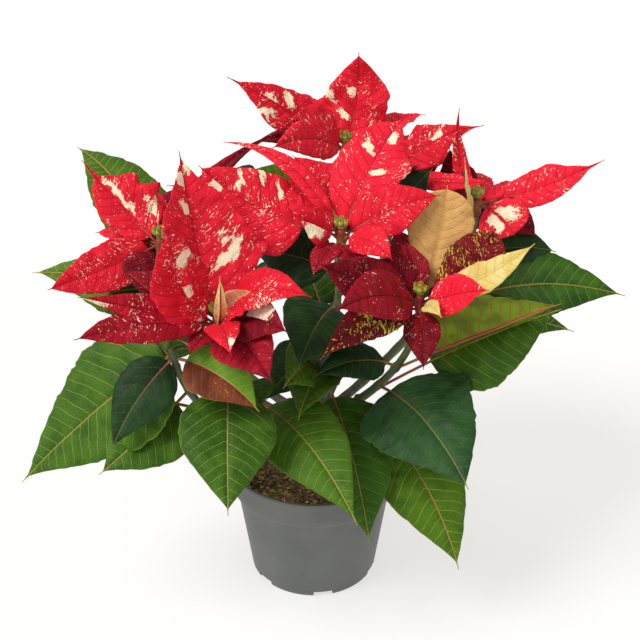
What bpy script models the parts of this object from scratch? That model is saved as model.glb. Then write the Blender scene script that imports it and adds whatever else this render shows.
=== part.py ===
"""Poinsettia in a plastic nursery pot: pot, soil, woody stem, leafy shoots and blooms.

Lengths in this file are millimetres, and become metres when a mesh is made.
The origin is the middle of the pot's underside, +Z is up, and the plant's front faces -Y.
Every leaf and bract is a thin blade on its own stalk, bent by one formula. The blades of one shoot
or one bloom are joined into it, and a blade that would cross another piece is bent clear of it.
"""
import math
import random
from dataclasses import dataclass
from functools import lru_cache

import bmesh
import bpy
import numpy as np
from mathutils import Vector
from mathutils.bvhtree import BVHTree

MM = 0.001
GAP = 0.3
MERGE = 0.02
SHARP_ANGLE = 40.0
UP = np.array([0.0, 0.0, 1.0])

# Pot: a turned shell with a deep collar and drain slots round its foot.
# The bends of the collar are distances inwards and downwards from the rim.
POT_HEIGHT = 98.0
RIM_RADIUS = 65.0
COLLAR_OUTSIDE = ((1.2, 0.0), (0.0, 1.0), (0.0, 3.0), (0.8, 17.0), (1.8, 20.5), (5.5, 25.0))
COLLAR_INSIDE = ((0.4, 0.0), (0.4, 3.0), (0.8, 17.0), (1.8, 20.5), (5.5, 25.0))
FOOT_RADIUS = 48.5
FOOT_BENDS = (6.0, 2.0)
FOOT_CHAMFER = 1.6
POT_WALL = 1.6
POT_FLOOR = 2.6
POT_SIDES = 32
SLOT_COUNT = 6
SLOT_TURN = 39.0
SLOT_WIDTH = 15.0
SLOT_HEIGHT = 4.5
SLOT_DEPTH = 6.0

# Soil: fills the pot to a little below the rim, with a crumbly top and a plain hole for the stem
SOIL_TOP = 88.0
SOIL_CRUMB = 1.4
SOIL_RINGS = (11.0, 20.0, 30.0, 40.0, 50.0)
SOIL_SIDES = 24
HOLE_FLOOR = 55.0

# Woody stem: a short trunk that forks into one arm for each shoot.
# The bends of the trunk are heights above the fork and radii.
TRUNK_RADIUS = 4.6
TRUNK_BENDS = ((-38.0, 4.6), (-6.0, 4.8), (3.0, 4.1))
FORK_HEIGHT = 128.0
ARM_RADIUS = 3.4
ARM_SHARE = 0.22
ARM_POINTS = 4

# Shoots: green stems that carry on from the arms, as shares of a shoot's reach and climb
SHOOT_RADIUS = 2.4
SHOOT_SEAT = 0.5
SHOOT_POINTS = 6
SHOOT_NECK = 0.97
SHOOT_CAP = 2.0
LEAVE_REACH = 0.55
LEAVE_CLIMB = 0.25
ARRIVE_REACH = 0.04
ARRIVE_CLIMB = 0.40

# Bloom: bracts stand on a short hub at the shoot's end, under a cluster of small cups.
# The bends of hub and cluster are heights and radii.
HUB_BENDS = ((-9.0, 2.4), (-6.0, 3.6), (0.0, 3.6), (4.0, 3.2), (6.0, 2.2))
CLUSTER_BENDS = ((0.0, 2.2), (1.5, 2.9), (4.5, 2.2))
CUP_RADIUS = 2.5
CUP_STRETCH = 1.25
CUP_COUNT = 6
CUP_CIRCLE = 2.9
CUP_TURN = 23.0
CUP_HEIGHT = 5.2
MIDDLE_CUP_HEIGHT = 6.4
ROOT_TOP = 1.0
ROOT_STEP = 0.6
ROOT_REACH = 2.2

# Blades: rows are shares of a blade's length, and bends are degrees
BLADE_THICKNESS = 0.8
STALK_THICKNESS = 2.0
STALK_HALF = 1.0
TIP_HALF = 0.5
CLEARANCE = 0.45
LOWEST_BLADE = 5.0
LEVEL_ARCH = 0.10
STEEP_ARCH = -0.12
STEEP_RISE = 45.0
WAVE_COUNT = 2.0
WAVE_SHIFT = 2.0
BRACT_ROWS = (0.0, 0.12, 0.34, 0.58, 0.81, 1.0)
LEAF_ROWS = (0.0, 0.09, 0.3, 0.55, 0.8, 1.0)
SMALL_ROWS = (0.0, 0.25, 0.62, 1.0)
FILL_ROWS = (0.0, 0.15, 0.45, 0.76, 1.0)
SMALL_WIDTH = 27.0
NARROW_COLUMNS = 3
WIDE_COLUMNS = 5
WIDE_LEAF = 52.0
STALK_ROWS = 2
BEND_STEPS = (4.0, 8.0, 12.0, 17.0, 23.0, 30.0)
LOBE_LENGTH = 0.09

# Colour and roughness of each material
FINISHES = {
    "pot_plastic": ((0.17, 0.18, 0.16), 0.55),
    "soil_crumb": ((0.06, 0.035, 0.02), 0.95),
    "stem_bark": ((0.22, 0.24, 0.12), 0.75),
    "leaf_green": ((0.05, 0.16, 0.03), 0.45),
    "bract_red": ((0.75, 0.01, 0.03), 0.5),
    "cup_green": ((0.45, 0.5, 0.06), 0.5),
}


@dataclass
class Blade:
    """One leaf or bract: where its tip lies, how wide it is and how it is turned and bent."""

    tip: tuple
    width: float
    roll: float = 0.0
    tint: str = "red"
    aim: tuple = ()
    stalk: float = 7.0
    belly: float = 0.75
    taper: float = 1.1
    tail: float = 0.04
    lobes: tuple = ()
    arch: float = 0.0
    fold: float = 0.15
    cup: float = 0.1
    wave: float = 0.0
    at: float = 1.0


def bract(tip, width, roll, tint="red", **traits):
    return Blade(tip, width, roll, tint, **traits)


def leaf(at, tip, width, roll, tint="green", **traits):
    usual = {"stalk": 35.0, "belly": 0.65, "taper": 1.2, "arch": 0.12, "fold": 0.12, "cup": 0.15}
    traits = {**usual, **traits}
    return Blade(tip, width, roll, tint, at=at, **traits)


def bract_out(azimuth, rise, length, width, tint="red", **traits):
    """A bract given by its direction and length in place of its tip."""
    return Blade((), width, 0.0, tint, aim=(azimuth, rise, length), **traits)


def leaf_out(at, azimuth, rise, length, width, tint="green", **traits):
    """A leaf given by its direction and length in place of its tip."""
    made = leaf(at, (), width, 0.0, tint, **traits)
    made.aim = (azimuth, rise, length)
    return made


# Bract tips of each bloom, in the order they show from the front; the hub is the bloom's middle
BLOOMS = {
    "left_front": ((-65, -50, 240), [
        bract((-90, 0, 345), 76, 15, taper=1.3, arch=-0.05, fold=0.45,
              lobes=((0.34, 1, 0.3), (0.58, 1, 0.1))),
        bract((-90, -60, 315), 46, -65, stalk=6.0, taper=0.9, lobes=((0.34, 1, 0.2),), arch=-0.15),
        bract((0, -100, 285), 38, 35, stalk=6.0, taper=1.2, arch=0.16),
        bract((-150, -90, 280), 22, -50, "deep", taper=1.2, arch=0.01),
        bract((-150, -110, 260), 28, -35, "deep", taper=0.9, arch=0.05),
        bract((-40, -70, 275), 32, -60, "blush", stalk=5.0, arch=-0.05, taper=0.7),
        bract((-50, -130, 260), 24, 10),
        bract((-15, -110, 265), 36, 50, "deep"),
        bract((-25, -130, 240), 42, 25, "deep"),
        bract((-60, -70, 285), 9, -20, "cream"),
        bract_out(-115, 0, 36, 20, "deep", stalk=4.0),
        bract_out(-60, 5, 36, 20, "deep", stalk=4.0),
        bract_out(100, 40, 80, 40, "deep"),
        bract_out(165, 30, 75, 36, "deep"),
    ]),
    "left_back": ((-115, 55, 250), [
        bract((-175, 90, 305), 36, -35, belly=0.5, taper=0.6, tail=0.22, arch=-0.02,
              lobes=((0.58, 1, 0.7), (0.34, 1, 0.9), (0.12, 1, 0.6)), wave=0.06),
        bract((-195, 20, 230), 38, -50, belly=0.5, taper=0.9, arch=-0.02),
        bract((-160, 80, 245), 32, -50, "deep"),
        bract((-120, 10, 225), 46, -15, "deep"),
        bract((-110, 130, 265), 26, 15, "deep"),
        bract((-30, 120, 315), 16, 40, "deep", taper=1.5),
        bract_out(115, 20, 75, 38),
        bract_out(150, 0, 60, 34),
        bract_out(60, 10, 80, 34),
        bract_out(345, 10, 60, 30, "deep"),
    ]),
    "centre": ((20, 15, 275), [
        bract((-80, 25, 325), 54, -55, stalk=25.0, belly=0.45, taper=0.8, arch=-0.08, wave=0.08,
              lobes=((0.12, -1, 0.25), (0.58, -1, 0.2))),
        bract((90, 20, 305), 38, 50, stalk=6.0, arch=0.06),
        bract((70, 80, 345), 50, 25, taper=0.95, tail=0.1,
              lobes=((0.58, 1, 0.25), (0.81, -1, 0.3)), wave=0.08),
        bract((55, -25, 275), 26, 35, arch=0.14),
        bract((-10, 0, 295), 30, -60, arch=0.07),
        bract((-65, 60, 330), 14, -40, arch=0.19, taper=1.4),
        bract((-5, 40, 300), 16, -30, "cream"),
        bract_out(-120, -15, 40, 22, "deep", stalk=4.0),
        bract_out(-70, -15, 40, 22, "deep", stalk=4.0),
        bract((-15, 60, 320), 50, -20),
        bract((30, 70, 300), 40, 10, "deep"),
    ]),
    "top": ((25, 125, 300), [
        bract((35, 150, 370), 50, 20, taper=1.0, lobes=((0.58, 1, 0.1), (0.34, -1, 0.3)), wave=0.08),
        bract((-65, 120, 360), 38, -45, tail=0.08, arch=0.02, lobes=((0.58, -1, 0.2),)),
        bract((-20, 90, 335), 38, -65),
        bract((-45, 85, 320), 18, -55, "deep"),
        bract((-30, 60, 325), 32, -60, "deep"),
        bract_out(100, 20, 75, 38),
        bract_out(140, 28, 80, 38),
        bract_out(30, 15, 75, 36),
        bract_out(75, -5, 70, 34),
    ]),
    "right_top": ((65, 115, 285), [
        bract((130, 110, 325), 32, 50, belly=0.6, taper=1.6, tail=0.05,
              lobes=((0.34, -1, 0.25), (0.34, 1, 0.2))),
        bract((130, 60, 300), 17, 40, arch=-0.06),
        bract((100, 130, 285), 30, 50, "deep"),
        bract_out(60, 12, 65, 36),
        bract_out(95, 6, 75, 36),
        bract_out(114, 25, 60, 32),
        bract_out(35, 0, 70, 34),
        bract_out(265, 25, 55, 32, "deep"),
    ]),
    "right_back": ((125, 85, 270), [
        bract((220, 90, 305), 28, 50, belly=1.0, taper=1.1, tail=0.12, arch=-0.04,
              lobes=((0.58, -1, 0.2),)),
        bract((150, 50, 260), 42, 35, taper=0.5),
        bract((170, 70, 250), 28, 50, "deep"),
        bract((100, 85, 285), 20, -60, "deep", stalk=6.0),
        bract((110, 105, 340), 13, -30, taper=1.6),
        bract((105, 115, 305), 30, -45, "deep"),
        bract((110, 50, 320), 12, -80, "cream"),
        bract_out(30, 0, 75, 36),
        bract_out(60, -10, 70, 36),
        bract_out(90, 0, 75, 34),
    ]),
    "right_front": ((75, -20, 240), [
        bract((95, 25, 310), 46, 15, "blush", belly=0.9, taper=0.45, lobes=((0.58, -1, 0.1),)),
        bract((125, -15, 295), 42, 55, "deep", taper=0.6),
        bract((150, -30, 290), 24, 50, "cream", arch=-0.05),
        bract((115, -70, 275), 30, 60, arch=0.03),
        bract((65, 10, 275), 28, -45, "deep", arch=0.01),
        bract((5, -40, 280), 42, -55, "deep", stalk=6.0, arch=-0.01),
        bract((15, -90, 270), 38, -50, "deep"),
        bract((75, -70, 215), 26, 5, "deep", stalk=5.0),
        bract((5, -100, 240), 30, -35, "deep"),
        bract((85, -70, 255), 12, 40, "cream"),
        bract((45, 0, 265), 32, -40, "deep"),
        bract_out(100, 25, 75, 36, "deep"),
        bract_out(30, 12, 75, 34, "deep"),
    ]),
}

# A leafy side shoot with no bloom, at the left
BLIND_SHOOT = "left_low"
BLIND_TIP = (-95, -65, 228)
BLIND_DROP = 16.0
BLIND_CLIMB = 0.10

# Leaf tips of each shoot, with the share of the shoot's length at which the stalk leaves it
LEAVES = {
    "left_low": [
        leaf(0.97, (-210, -60, 115), 84, -50, "mid", stalk=6.0, belly=0.45, taper=1.2, arch=0.03),
        leaf(0.95, (-135, -100, 170), 40, -35, "dark", stalk=4.0, belly=0.6, arch=0.08),
        leaf(0.95, (-35, -100, 200), 42, 35, "young", stalk=10.0, fold=0.4),
        leaf(0.75, (-145, -100, 150), 58, -35, "mid", stalk=12.0, taper=1.3, arch=-0.02),
        leaf(0.90, (-120, -40, 225), 20, -30, "light", stalk=10.0),
        leaf_out(0.60, 165, -15, 110, 56, "mid"),
    ],
    "left_front": [
        leaf(0.75, (-55, -140, 145), 66, -5, "mid", stalk=20.0, belly=0.75),
        leaf(0.42, (30, -130, 130), 56, 25, "mid", stalk=12.0),
        leaf(0.62, (-35, -80, 190), 36, 20, "green", stalk=15.0),
        leaf_out(0.75, 150, 0, 95, 50),
    ],
    "right_front": [
        leaf(0.45, (105, -110, 145), 82, 20, "green", stalk=14.0, belly=0.45, taper=1.0,
             lobes=((0.3, -1, 0.15),)),
        leaf(0.30, (175, -20, 235), 72, 50, "mid", stalk=62.0, arch=0.03),
        leaf(0.60, (170, -40, 250), 72, -55, "light", stalk=35.0, belly=0.5, arch=0.01, fold=0.5),
        leaf(0.30, (105, -90, 60), 60, 25, "mid"),
        leaf(0.62, (0, -55, 200), 34, -30, "dark", stalk=12.0),
    ],
    "centre": [
        leaf(0.30, (40, -100, 90), 66, 10, "green", stalk=20.0),
        leaf(0.72, (-10, -70, 215), 56, -20, "dark", stalk=12.0),
        leaf(0.85, (-45, 30, 255), 54, -30, "dark", stalk=10.0),
        leaf(0.35, (-20, -70, 200), 42, -45, "light", stalk=15.0),
        leaf(0.40, (5, -50, 200), 34, -15, "green", stalk=15.0),
        leaf(0.40, (-10, -75, 178), 40, 0, "mid", stalk=15.0),
        leaf(0.50, (-35, -40, 170), 46, -15, "dark", stalk=10.0),
        leaf_out(0.50, 104, 9, 110, 56),
        leaf_out(0.62, 20, 10, 90, 46),
    ],
    "right_back": [
        leaf(0.50, (235, 40, 215), 60, 45, "green"),
        leaf(0.40, (195, 20, 195), 40, 45, "mid"),
        leaf(0.75, (185, 65, 240), 46, 50, "dark", stalk=15.0),
        leaf(0.85, (150, 165, 255), 30, 20, "dark", stalk=15.0),
        leaf_out(0.62, 55, 0, 110, 58),
        leaf_out(0.35, 25, -15, 120, 60),
    ],
    "left_back": [
        leaf(0.70, (-200, 200, 275), 56, -20, "light"),
        leaf(0.50, (-220, 80, 215), 50, -40, "light"),
        leaf(0.75, (-155, 30, 220), 30, -50, "green", stalk=12.0),
        leaf_out(0.60, 100, 0, 120, 60),
        leaf_out(0.35, 150, -15, 120, 58),
    ],
    "top": [
        leaf(0.55, (-120, 150, 260), 56, -45, "dark", lobes=((0.55, 1, 0.3), (0.3, -1, 0.25))),
        leaf(0.70, (-50, 110, 290), 44, -50, "light", stalk=20.0),
        leaf_out(0.45, 120, -10, 125, 62),
        leaf_out(0.60, 75, -5, 115, 58),
        leaf_out(0.80, 115, 5, 90, 48),
    ],
    "right_top": [
        leaf(0.75, (90, 85, 300), 40, 70, "dark", stalk=15.0, arch=0.06),
        leaf_out(0.40, 70, -20, 120, 60),
        leaf_out(0.60, 45, -9, 110, 56),
        leaf_out(0.80, 85, 5, 90, 48),
    ],
}


def clear_scene():
    for item in list(bpy.data.objects):
        bpy.data.objects.remove(item, do_unlink=True)


def new_collection(name):
    group = bpy.data.collections.new(name)
    bpy.context.scene.collection.children.link(group)
    return group


def material(name):
    colour, roughness = FINISHES[name]
    made = bpy.data.materials.new(name)
    made.use_nodes = True
    shader = made.node_tree.nodes["Principled BSDF"]
    shader.inputs["Base Color"].default_value = (*colour, 1.0)
    shader.inputs["Roughness"].default_value = roughness
    made.diffuse_color = (*colour, 1.0)
    return made


def add_object(name, mesh, group, finish=None):
    made = bpy.data.objects.new(name, mesh)
    group.objects.link(made)
    if finish:
        made.data.materials.append(finish)
    return made


def evaluated_mesh(item):
    graph = bpy.context.evaluated_depsgraph_get()
    graph.update()
    mesh = bpy.data.meshes.new_from_object(item.evaluated_get(graph))
    mesh.transform(item.matrix_world)
    return mesh


def turned(name, profile, steps, group, finish=None):
    """A solid turned round Z from a profile that runs down its outer side."""
    mesh = bpy.data.meshes.new(name)
    mesh.from_pydata([(r * MM, 0.0, z * MM) for r, z in profile],
                     [(i, i + 1) for i in range(len(profile) - 1)], [])
    made = add_object(name, mesh, group, finish)
    screw = made.modifiers.new("Turn", "SCREW")
    screw.steps = steps
    screw.render_steps = steps
    screw.use_merge_vertices = True
    screw.merge_threshold = MERGE * MM
    screw.use_smooth_shade = True
    return made


def baked(item):
    """The same object with its modifiers turned into mesh."""
    mesh = evaluated_mesh(item)
    edit = bmesh.new()
    edit.from_mesh(mesh)
    bmesh.ops.remove_doubles(edit, verts=edit.verts, dist=MERGE * MM)
    edit.to_mesh(mesh)
    edit.free()
    item.modifiers.clear()
    item.data = mesh
    item.matrix_world.identity()
    return item


def cut_with(target, cutter):
    cutter.hide_render = True
    cutter.display_type = "WIRE"
    cut = target.modifiers.new("Cut", "BOOLEAN")
    cut.object = cutter
    cut.operation = "DIFFERENCE"


def wall_radius(height):
    """Outer radius of the pot's tapered wall, below its collar."""
    inset, drop = COLLAR_OUTSIDE[-1]
    spread = RIM_RADIUS - inset - FOOT_RADIUS
    return FOOT_RADIUS + spread * height / (POT_HEIGHT - drop)


def make_pot(group, cutters):
    outer = [(RIM_RADIUS - inset, POT_HEIGHT - drop) for inset, drop in COLLAR_OUTSIDE]
    outer += [(wall_radius(height), height) for height in FOOT_BENDS]
    outer += [(FOOT_RADIUS - FOOT_CHAMFER, 0.0), (0.0, 0.0)]
    inner = [(RIM_RADIUS - inset - POT_WALL, POT_HEIGHT - drop) for inset, drop in COLLAR_INSIDE]
    inner += [(wall_radius(POT_FLOOR) - POT_WALL, POT_FLOOR), (0.0, POT_FLOOR)]
    profile = outer + inner[::-1] + outer[:1]
    pot = turned("pot", profile, POT_SIDES, group, material("pot_plastic"))
    for k in range(SLOT_COUNT):
        angle = math.radians(SLOT_TURN) + 2.0 * math.pi * k / SLOT_COUNT
        bpy.ops.mesh.primitive_cube_add(size=1.0)
        slot = bpy.context.object
        slot.name = f"drain_slot_cutter_{k + 1}"
        slot.scale = (SLOT_DEPTH * 2 * MM, SLOT_WIDTH * MM, SLOT_HEIGHT * 2 * MM)
        slot.location = (FOOT_RADIUS * MM * math.cos(angle), FOOT_RADIUS * MM * math.sin(angle), 0.0)
        slot.rotation_euler = (0.0, 0.0, angle)
        for owner in list(slot.users_collection):
            owner.objects.unlink(slot)
        cutters.objects.link(slot)
        cut_with(pot, slot)
    return pot


def make_soil(group):
    """Soil turned to the pot's inner wall, then its top raised and lowered into crumbs."""
    hole = TRUNK_RADIUS + GAP
    edge = POT_WALL + GAP
    floor = POT_FLOOR + GAP
    side = [(RIM_RADIUS - inset - edge, POT_HEIGHT - drop) for inset, drop in COLLAR_INSIDE]
    side = [(radius, height) for radius, height in side if height < SOIL_TOP]
    profile = [(0.0, HOLE_FLOOR), (hole, HOLE_FLOOR)]
    profile += [(radius, SOIL_TOP) for radius in (hole, *SOIL_RINGS, side[0][0])]
    profile += side
    profile += [(wall_radius(floor) - edge, floor), (0.0, floor)]
    soil = baked(turned("soil", profile, SOIL_SIDES, group, material("soil_crumb")))
    dice = random.Random(4)
    for point in soil.data.vertices:
        radius = math.hypot(point.co.x, point.co.y) / MM
        on_top = abs(point.co.z / MM - SOIL_TOP) < 0.01
        if on_top and hole + 1.0 < radius:
            point.co.z += dice.uniform(-SOIL_CRUMB, SOIL_CRUMB) * MM
    return soil


def shoot_end(name):
    """Top of a shoot: just under its bloom's hub, or the free tip of the blind shoot."""
    if name == BLIND_SHOOT:
        return np.array(BLIND_TIP, float)
    hub = np.array(BLOOMS[name][0], float)
    return hub + UP * (HUB_BENDS[0][0] - GAP)


def shoot_point(name, share):
    """Point of a shoot's middle line: it leaves the fork outwards and ends nearly upright."""
    blind = name == BLIND_SHOOT
    start = np.array([0.0, 0.0, FORK_HEIGHT - (BLIND_DROP if blind else 0.0)])
    end = shoot_end(name)
    reach = (end - start) * (1.0, 1.0, 0.0)
    climb = (end - start)[2]
    leave = start + reach * LEAVE_REACH + UP * climb * (BLIND_CLIMB if blind else LEAVE_CLIMB)
    arrive = end - reach * ARRIVE_REACH - UP * climb * ARRIVE_CLIMB
    rest = 1.0 - share
    return (start * rest**3 + leave * 3 * rest**2 * share
            + arrive * 3 * rest * share**2 + end * share**3)


def tube(name, points, radii, group):
    """A round stem through the given points, as a closed mesh."""
    curve = bpy.data.curves.new(name, "CURVE")
    curve.dimensions = "3D"
    curve.bevel_depth = MM
    curve.bevel_resolution = 1
    curve.use_fill_caps = True
    line = curve.splines.new("POLY")
    line.points.add(len(points) - 1)
    for spot, place, radius in zip(line.points, points, radii):
        spot.co = (*(np.array(place) * MM), 1.0)
        spot.radius = radius
    holder = bpy.data.objects.new(name + "_curve", curve)
    group.objects.link(holder)
    mesh = evaluated_mesh(holder)
    bpy.data.objects.remove(holder, do_unlink=True)
    edit = bmesh.new()
    edit.from_mesh(mesh)
    bmesh.ops.remove_doubles(edit, verts=edit.verts, dist=MERGE * MM)
    edit.to_mesh(mesh)
    edit.free()
    mesh.materials.clear()
    return add_object(name, mesh, group)


def outline_width(share, belly, taper):
    """Half-width of a blade along its length, from 0 at both ends to 1 at its widest."""
    widest = belly / (belly + taper)
    share = np.clip(share, 0.0, 1.0)
    return (share / widest) ** belly * ((1.0 - share) / (1.0 - widest)) ** taper


def lobed(share, lobes, u):
    """How much the lobes on one edge widen the blade; each is a share of length, a side and a size."""
    wider = np.zeros(len(share))
    for place, side, size in lobes:
        if side * u > 0.0:
            wider += size * np.exp(-((share - place) / LOBE_LENGTH) ** 2)
    return wider * abs(u)


def direction(blade, root):
    """Azimuth and rise in radians, and length, of the straight line from root to tip."""
    if blade.aim:
        azimuth, rise, length = blade.aim
        return math.radians(azimuth), math.radians(rise), length
    chord = np.array(blade.tip, float) - root
    length = float(np.linalg.norm(chord))
    return math.atan2(chord[1], chord[0]), math.asin(chord[2] / length), length


def natural_arch(rise):
    """Level bracts bow upwards along their length, and steep ones bow outwards."""
    return LEVEL_ARCH if rise < math.radians(STEEP_RISE) else STEEP_ARCH


def blade_grid(blade, root, rows, columns, lift=0.0, swing=0.0):
    """Points and face directions of a blade, row by row from root to tip.

    lift and swing turn the whole blade about its root, in degrees, up and sideways.
    """
    azimuth, rise, length = direction(blade, root)
    azimuth += math.radians(swing)
    rise += math.radians(lift)
    out = np.array([math.cos(azimuth), math.sin(azimuth), 0.0])
    along = out * math.cos(rise) + UP * math.sin(rise)
    over = -out * math.sin(rise) + UP * math.cos(rise)
    arch = blade.arch or natural_arch(rise)
    stalk_share = blade.stalk / length
    share = np.array([-0.2, *rows])
    way = np.array([0.0, *(stalk_share + (1.0 - stalk_share) * np.array(rows))])

    def middle(t):
        t = t[:, None]
        return root + along * length * t + over * length * arch * 4.0 * t * (1.0 - t)

    spine = middle(way)
    heading = middle(way + 0.01) - middle(way - 0.01)
    heading /= np.linalg.norm(heading, axis=1)[:, None]
    side = np.cross(heading, over)
    side /= np.linalg.norm(side, axis=1)[:, None]
    face = np.cross(side, heading)
    roll = math.radians(blade.roll)
    across = side * math.cos(roll) - face * math.sin(roll)
    face = face * math.cos(roll) + side * math.sin(roll)
    half = blade.width / 2.0 * outline_width(share / (1.0 - blade.tail), blade.belly, blade.taper)
    half = np.where(share < 0.0, STALK_HALF, np.maximum(half, TIP_HALF))
    half[1] = STALK_HALF
    grid = np.empty((len(way), columns, 3))
    for k, u in enumerate(np.linspace(-1.0, 1.0, columns)):
        shift = WAVE_SHIFT if u > 0 else 0.0
        ripple = blade.wave * abs(u) * np.sin(2.0 * math.pi * WAVE_COUNT * share + shift)
        raised = half * (blade.fold * abs(u) - blade.cup * u * u + ripple)
        reach = half * u * (1.0 + lobed(share, blade.lobes, u))
        grid[:, k] = spine + across * reach[:, None] + face * raised[:, None]
    return grid, face


def flat_sheet(rows, columns):
    """A flat grid of triangles, with the row and column of each of its points."""
    edit = bmesh.new()
    edit.verts.layers.deform.verify()
    bmesh.ops.create_grid(edit, x_segments=columns - 1, y_segments=rows - 1, size=1.0)
    bmesh.ops.triangulate(edit, faces=edit.faces, quad_method="FIXED")
    order = sorted(edit.verts, key=lambda v: (round(v.co.y, 4), round(v.co.x, 4)))
    place = {v: divmod(k, columns) for k, v in enumerate(order)}
    return edit, place


@lru_cache
def sheet_triangles(rows, columns):
    """The triangles of a blade's sheet, as numbers of its points counted row by row."""
    edit, place = flat_sheet(rows, columns)
    found = [tuple(place[v][0] * columns + place[v][1] for v in f.verts) for f in edit.faces]
    edit.free()
    return found


def blade_object(name, grid, group):
    """A blade as one closed sheet: a flat grid moved to its points, then thickened."""
    edit, place = flat_sheet(*grid.shape[:2])
    weights = edit.verts.layers.deform.active
    for v, (row, column) in place.items():
        v.co = Vector(grid[row, column] * MM)
        v[weights][0] = 1.0 if row < STALK_ROWS else BLADE_THICKNESS / STALK_THICKNESS
    mesh = bpy.data.meshes.new(name)
    edit.to_mesh(mesh)
    edit.free()
    made = add_object(name, mesh, group)
    made.vertex_groups.new(name="thickness")
    thick = made.modifiers.new("Thickness", "SOLIDIFY")
    thick.thickness = STALK_THICKNESS * MM
    thick.offset = 0.0
    thick.vertex_group = "thickness"
    return made


def shell_tree(grid, face, margin):
    """A search tree of the blade's two faces and rim, each moved out by a margin."""
    rows, columns = grid.shape[:2]
    spread = np.full(rows, BLADE_THICKNESS / 2.0 + margin)
    spread[:STALK_ROWS] = STALK_THICKNESS / 2.0 + margin
    step = (face * spread[:, None])[:, None]
    points = [*((grid + step).reshape(-1, 3)), *((grid - step).reshape(-1, 3))]
    below = rows * columns
    faces = []
    for a, b, c in sheet_triangles(rows, columns):
        faces += [(a, b, c), (below + c, below + b, below + a)]
    number = np.arange(rows * columns).reshape(rows, columns)
    rim = []
    for line in (number[0], number[-1], number[:, 0], number[:, -1]):
        rim += zip(line[:-1].tolist(), line[1:].tolist())
    faces += [(a, b, below + b, below + a) for a, b in rim]
    return BVHTree.FromPolygons([Vector(p) for p in points], faces)


def mesh_tree(item):
    mesh = evaluated_mesh(item)
    points = [v.co / MM for v in mesh.vertices]
    faces = [tuple(p.vertices) for p in mesh.polygons]
    bpy.data.meshes.remove(mesh)
    return BVHTree.FromPolygons(points, faces)


def bends():
    """Small turns of a blade, as lift and swing in degrees, the smallest first."""
    yield 0.0, 0.0
    for step in BEND_STEPS:
        for lift, swing in ((1, 0), (-1, 0), (0, 1), (0, -1), (1, 1), (-1, 1), (1, -1), (-1, -1)):
            yield lift * step, swing * step


def bend_clear(blade, root, rows, columns, node, obstacles):
    """The blade's grid after the first bend that leaves every other node's pieces alone."""
    for lift, swing in bends():
        grid, face = blade_grid(blade, root, rows, columns, lift, swing)
        if grid[STALK_ROWS:, :, 2].min() < LOWEST_BLADE:
            continue
        tree = shell_tree(grid, face, CLEARANCE)
        if not any(tree.overlap(other) for owner, other in obstacles if owner != node):
            return grid, face
    return None


def joined(base, extras):
    """Joins the extras into the base object with one union, and removes them."""
    group = new_collection(base.name + "_parts")
    for item in extras:
        for owner in list(item.users_collection):
            owner.objects.unlink(item)
        group.objects.link(item)
    union = base.modifiers.new("Join", "BOOLEAN")
    union.operation = "UNION"
    union.operand_type = "COLLECTION"
    union.collection = group
    union.solver = "MANIFOLD"
    baked(base)
    for item in list(group.objects):
        bpy.data.objects.remove(item, do_unlink=True)
    bpy.data.collections.remove(group)
    keep_largest(base)
    base.data.shade_smooth()
    base.data.set_sharp_from_angle(angle=math.radians(SHARP_ANGLE))
    return base


def keep_largest(item):
    """Drops loose scraps and the walls of sealed pockets, and keeps the main body."""
    edit = bmesh.new()
    edit.from_mesh(item.data)
    left = set(edit.faces)
    bodies = []
    while left:
        front = [left.pop()]
        body = []
        while front:
            face = front.pop()
            body.append(face)
            for beside in [f for e in face.edges for f in e.link_faces]:
                if beside in left:
                    left.remove(beside)
                    front.append(beside)
        bodies.append(body)
    bodies.sort(key=len)
    for body in bodies[:-1]:
        bmesh.ops.delete(edit, geom=body, context="FACES")
    edit.to_mesh(item.data)
    edit.free()


def make_stem(group):
    """Trunk and the bare lower arms, joined into one woody piece."""
    points = [UP * (HOLE_FLOOR + GAP)] + [UP * (FORK_HEIGHT + height) for height, _ in TRUNK_BENDS]
    radii = [TRUNK_RADIUS] + [radius for _, radius in TRUNK_BENDS]
    trunk = tube("woody_stem", points, radii, group)
    trunk.data.materials.append(material("stem_bark"))
    arms = []
    for name in LEAVES:
        points = [shoot_point(name, s) for s in np.linspace(0.0, ARM_SHARE, ARM_POINTS)]
        arms.append(tube("arm_" + name, points, [ARM_RADIUS] * ARM_POINTS, group))
    return joined(trunk, arms)


def shoot_core(name, group):
    """The round stem of one shoot, from the arm's end to just under the bloom."""
    start = shoot_point(name, ARM_SHARE)
    ahead = shoot_point(name, ARM_SHARE + 0.02)
    start = start + (ahead - start) / np.linalg.norm(ahead - start) * SHOOT_SEAT
    shares = np.linspace(ARM_SHARE, SHOOT_NECK, SHOOT_POINTS)
    points = [start] + [shoot_point(name, s) for s in shares[1:]]
    points += [shoot_end(name) - UP * SHOOT_CAP, shoot_end(name)]
    radii = np.linspace(ARM_RADIUS, SHOOT_RADIUS, len(points))
    return tube("shoot_" + name, points, radii, group)


def hub_core(name, group):
    """The upright end of the shoot that the bracts stand on."""
    hub = np.array(BLOOMS[name][0], float)
    points = [hub + UP * height for height, _ in HUB_BENDS]
    return tube("bloom_" + name, points, [radius for _, radius in HUB_BENDS], group)


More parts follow.
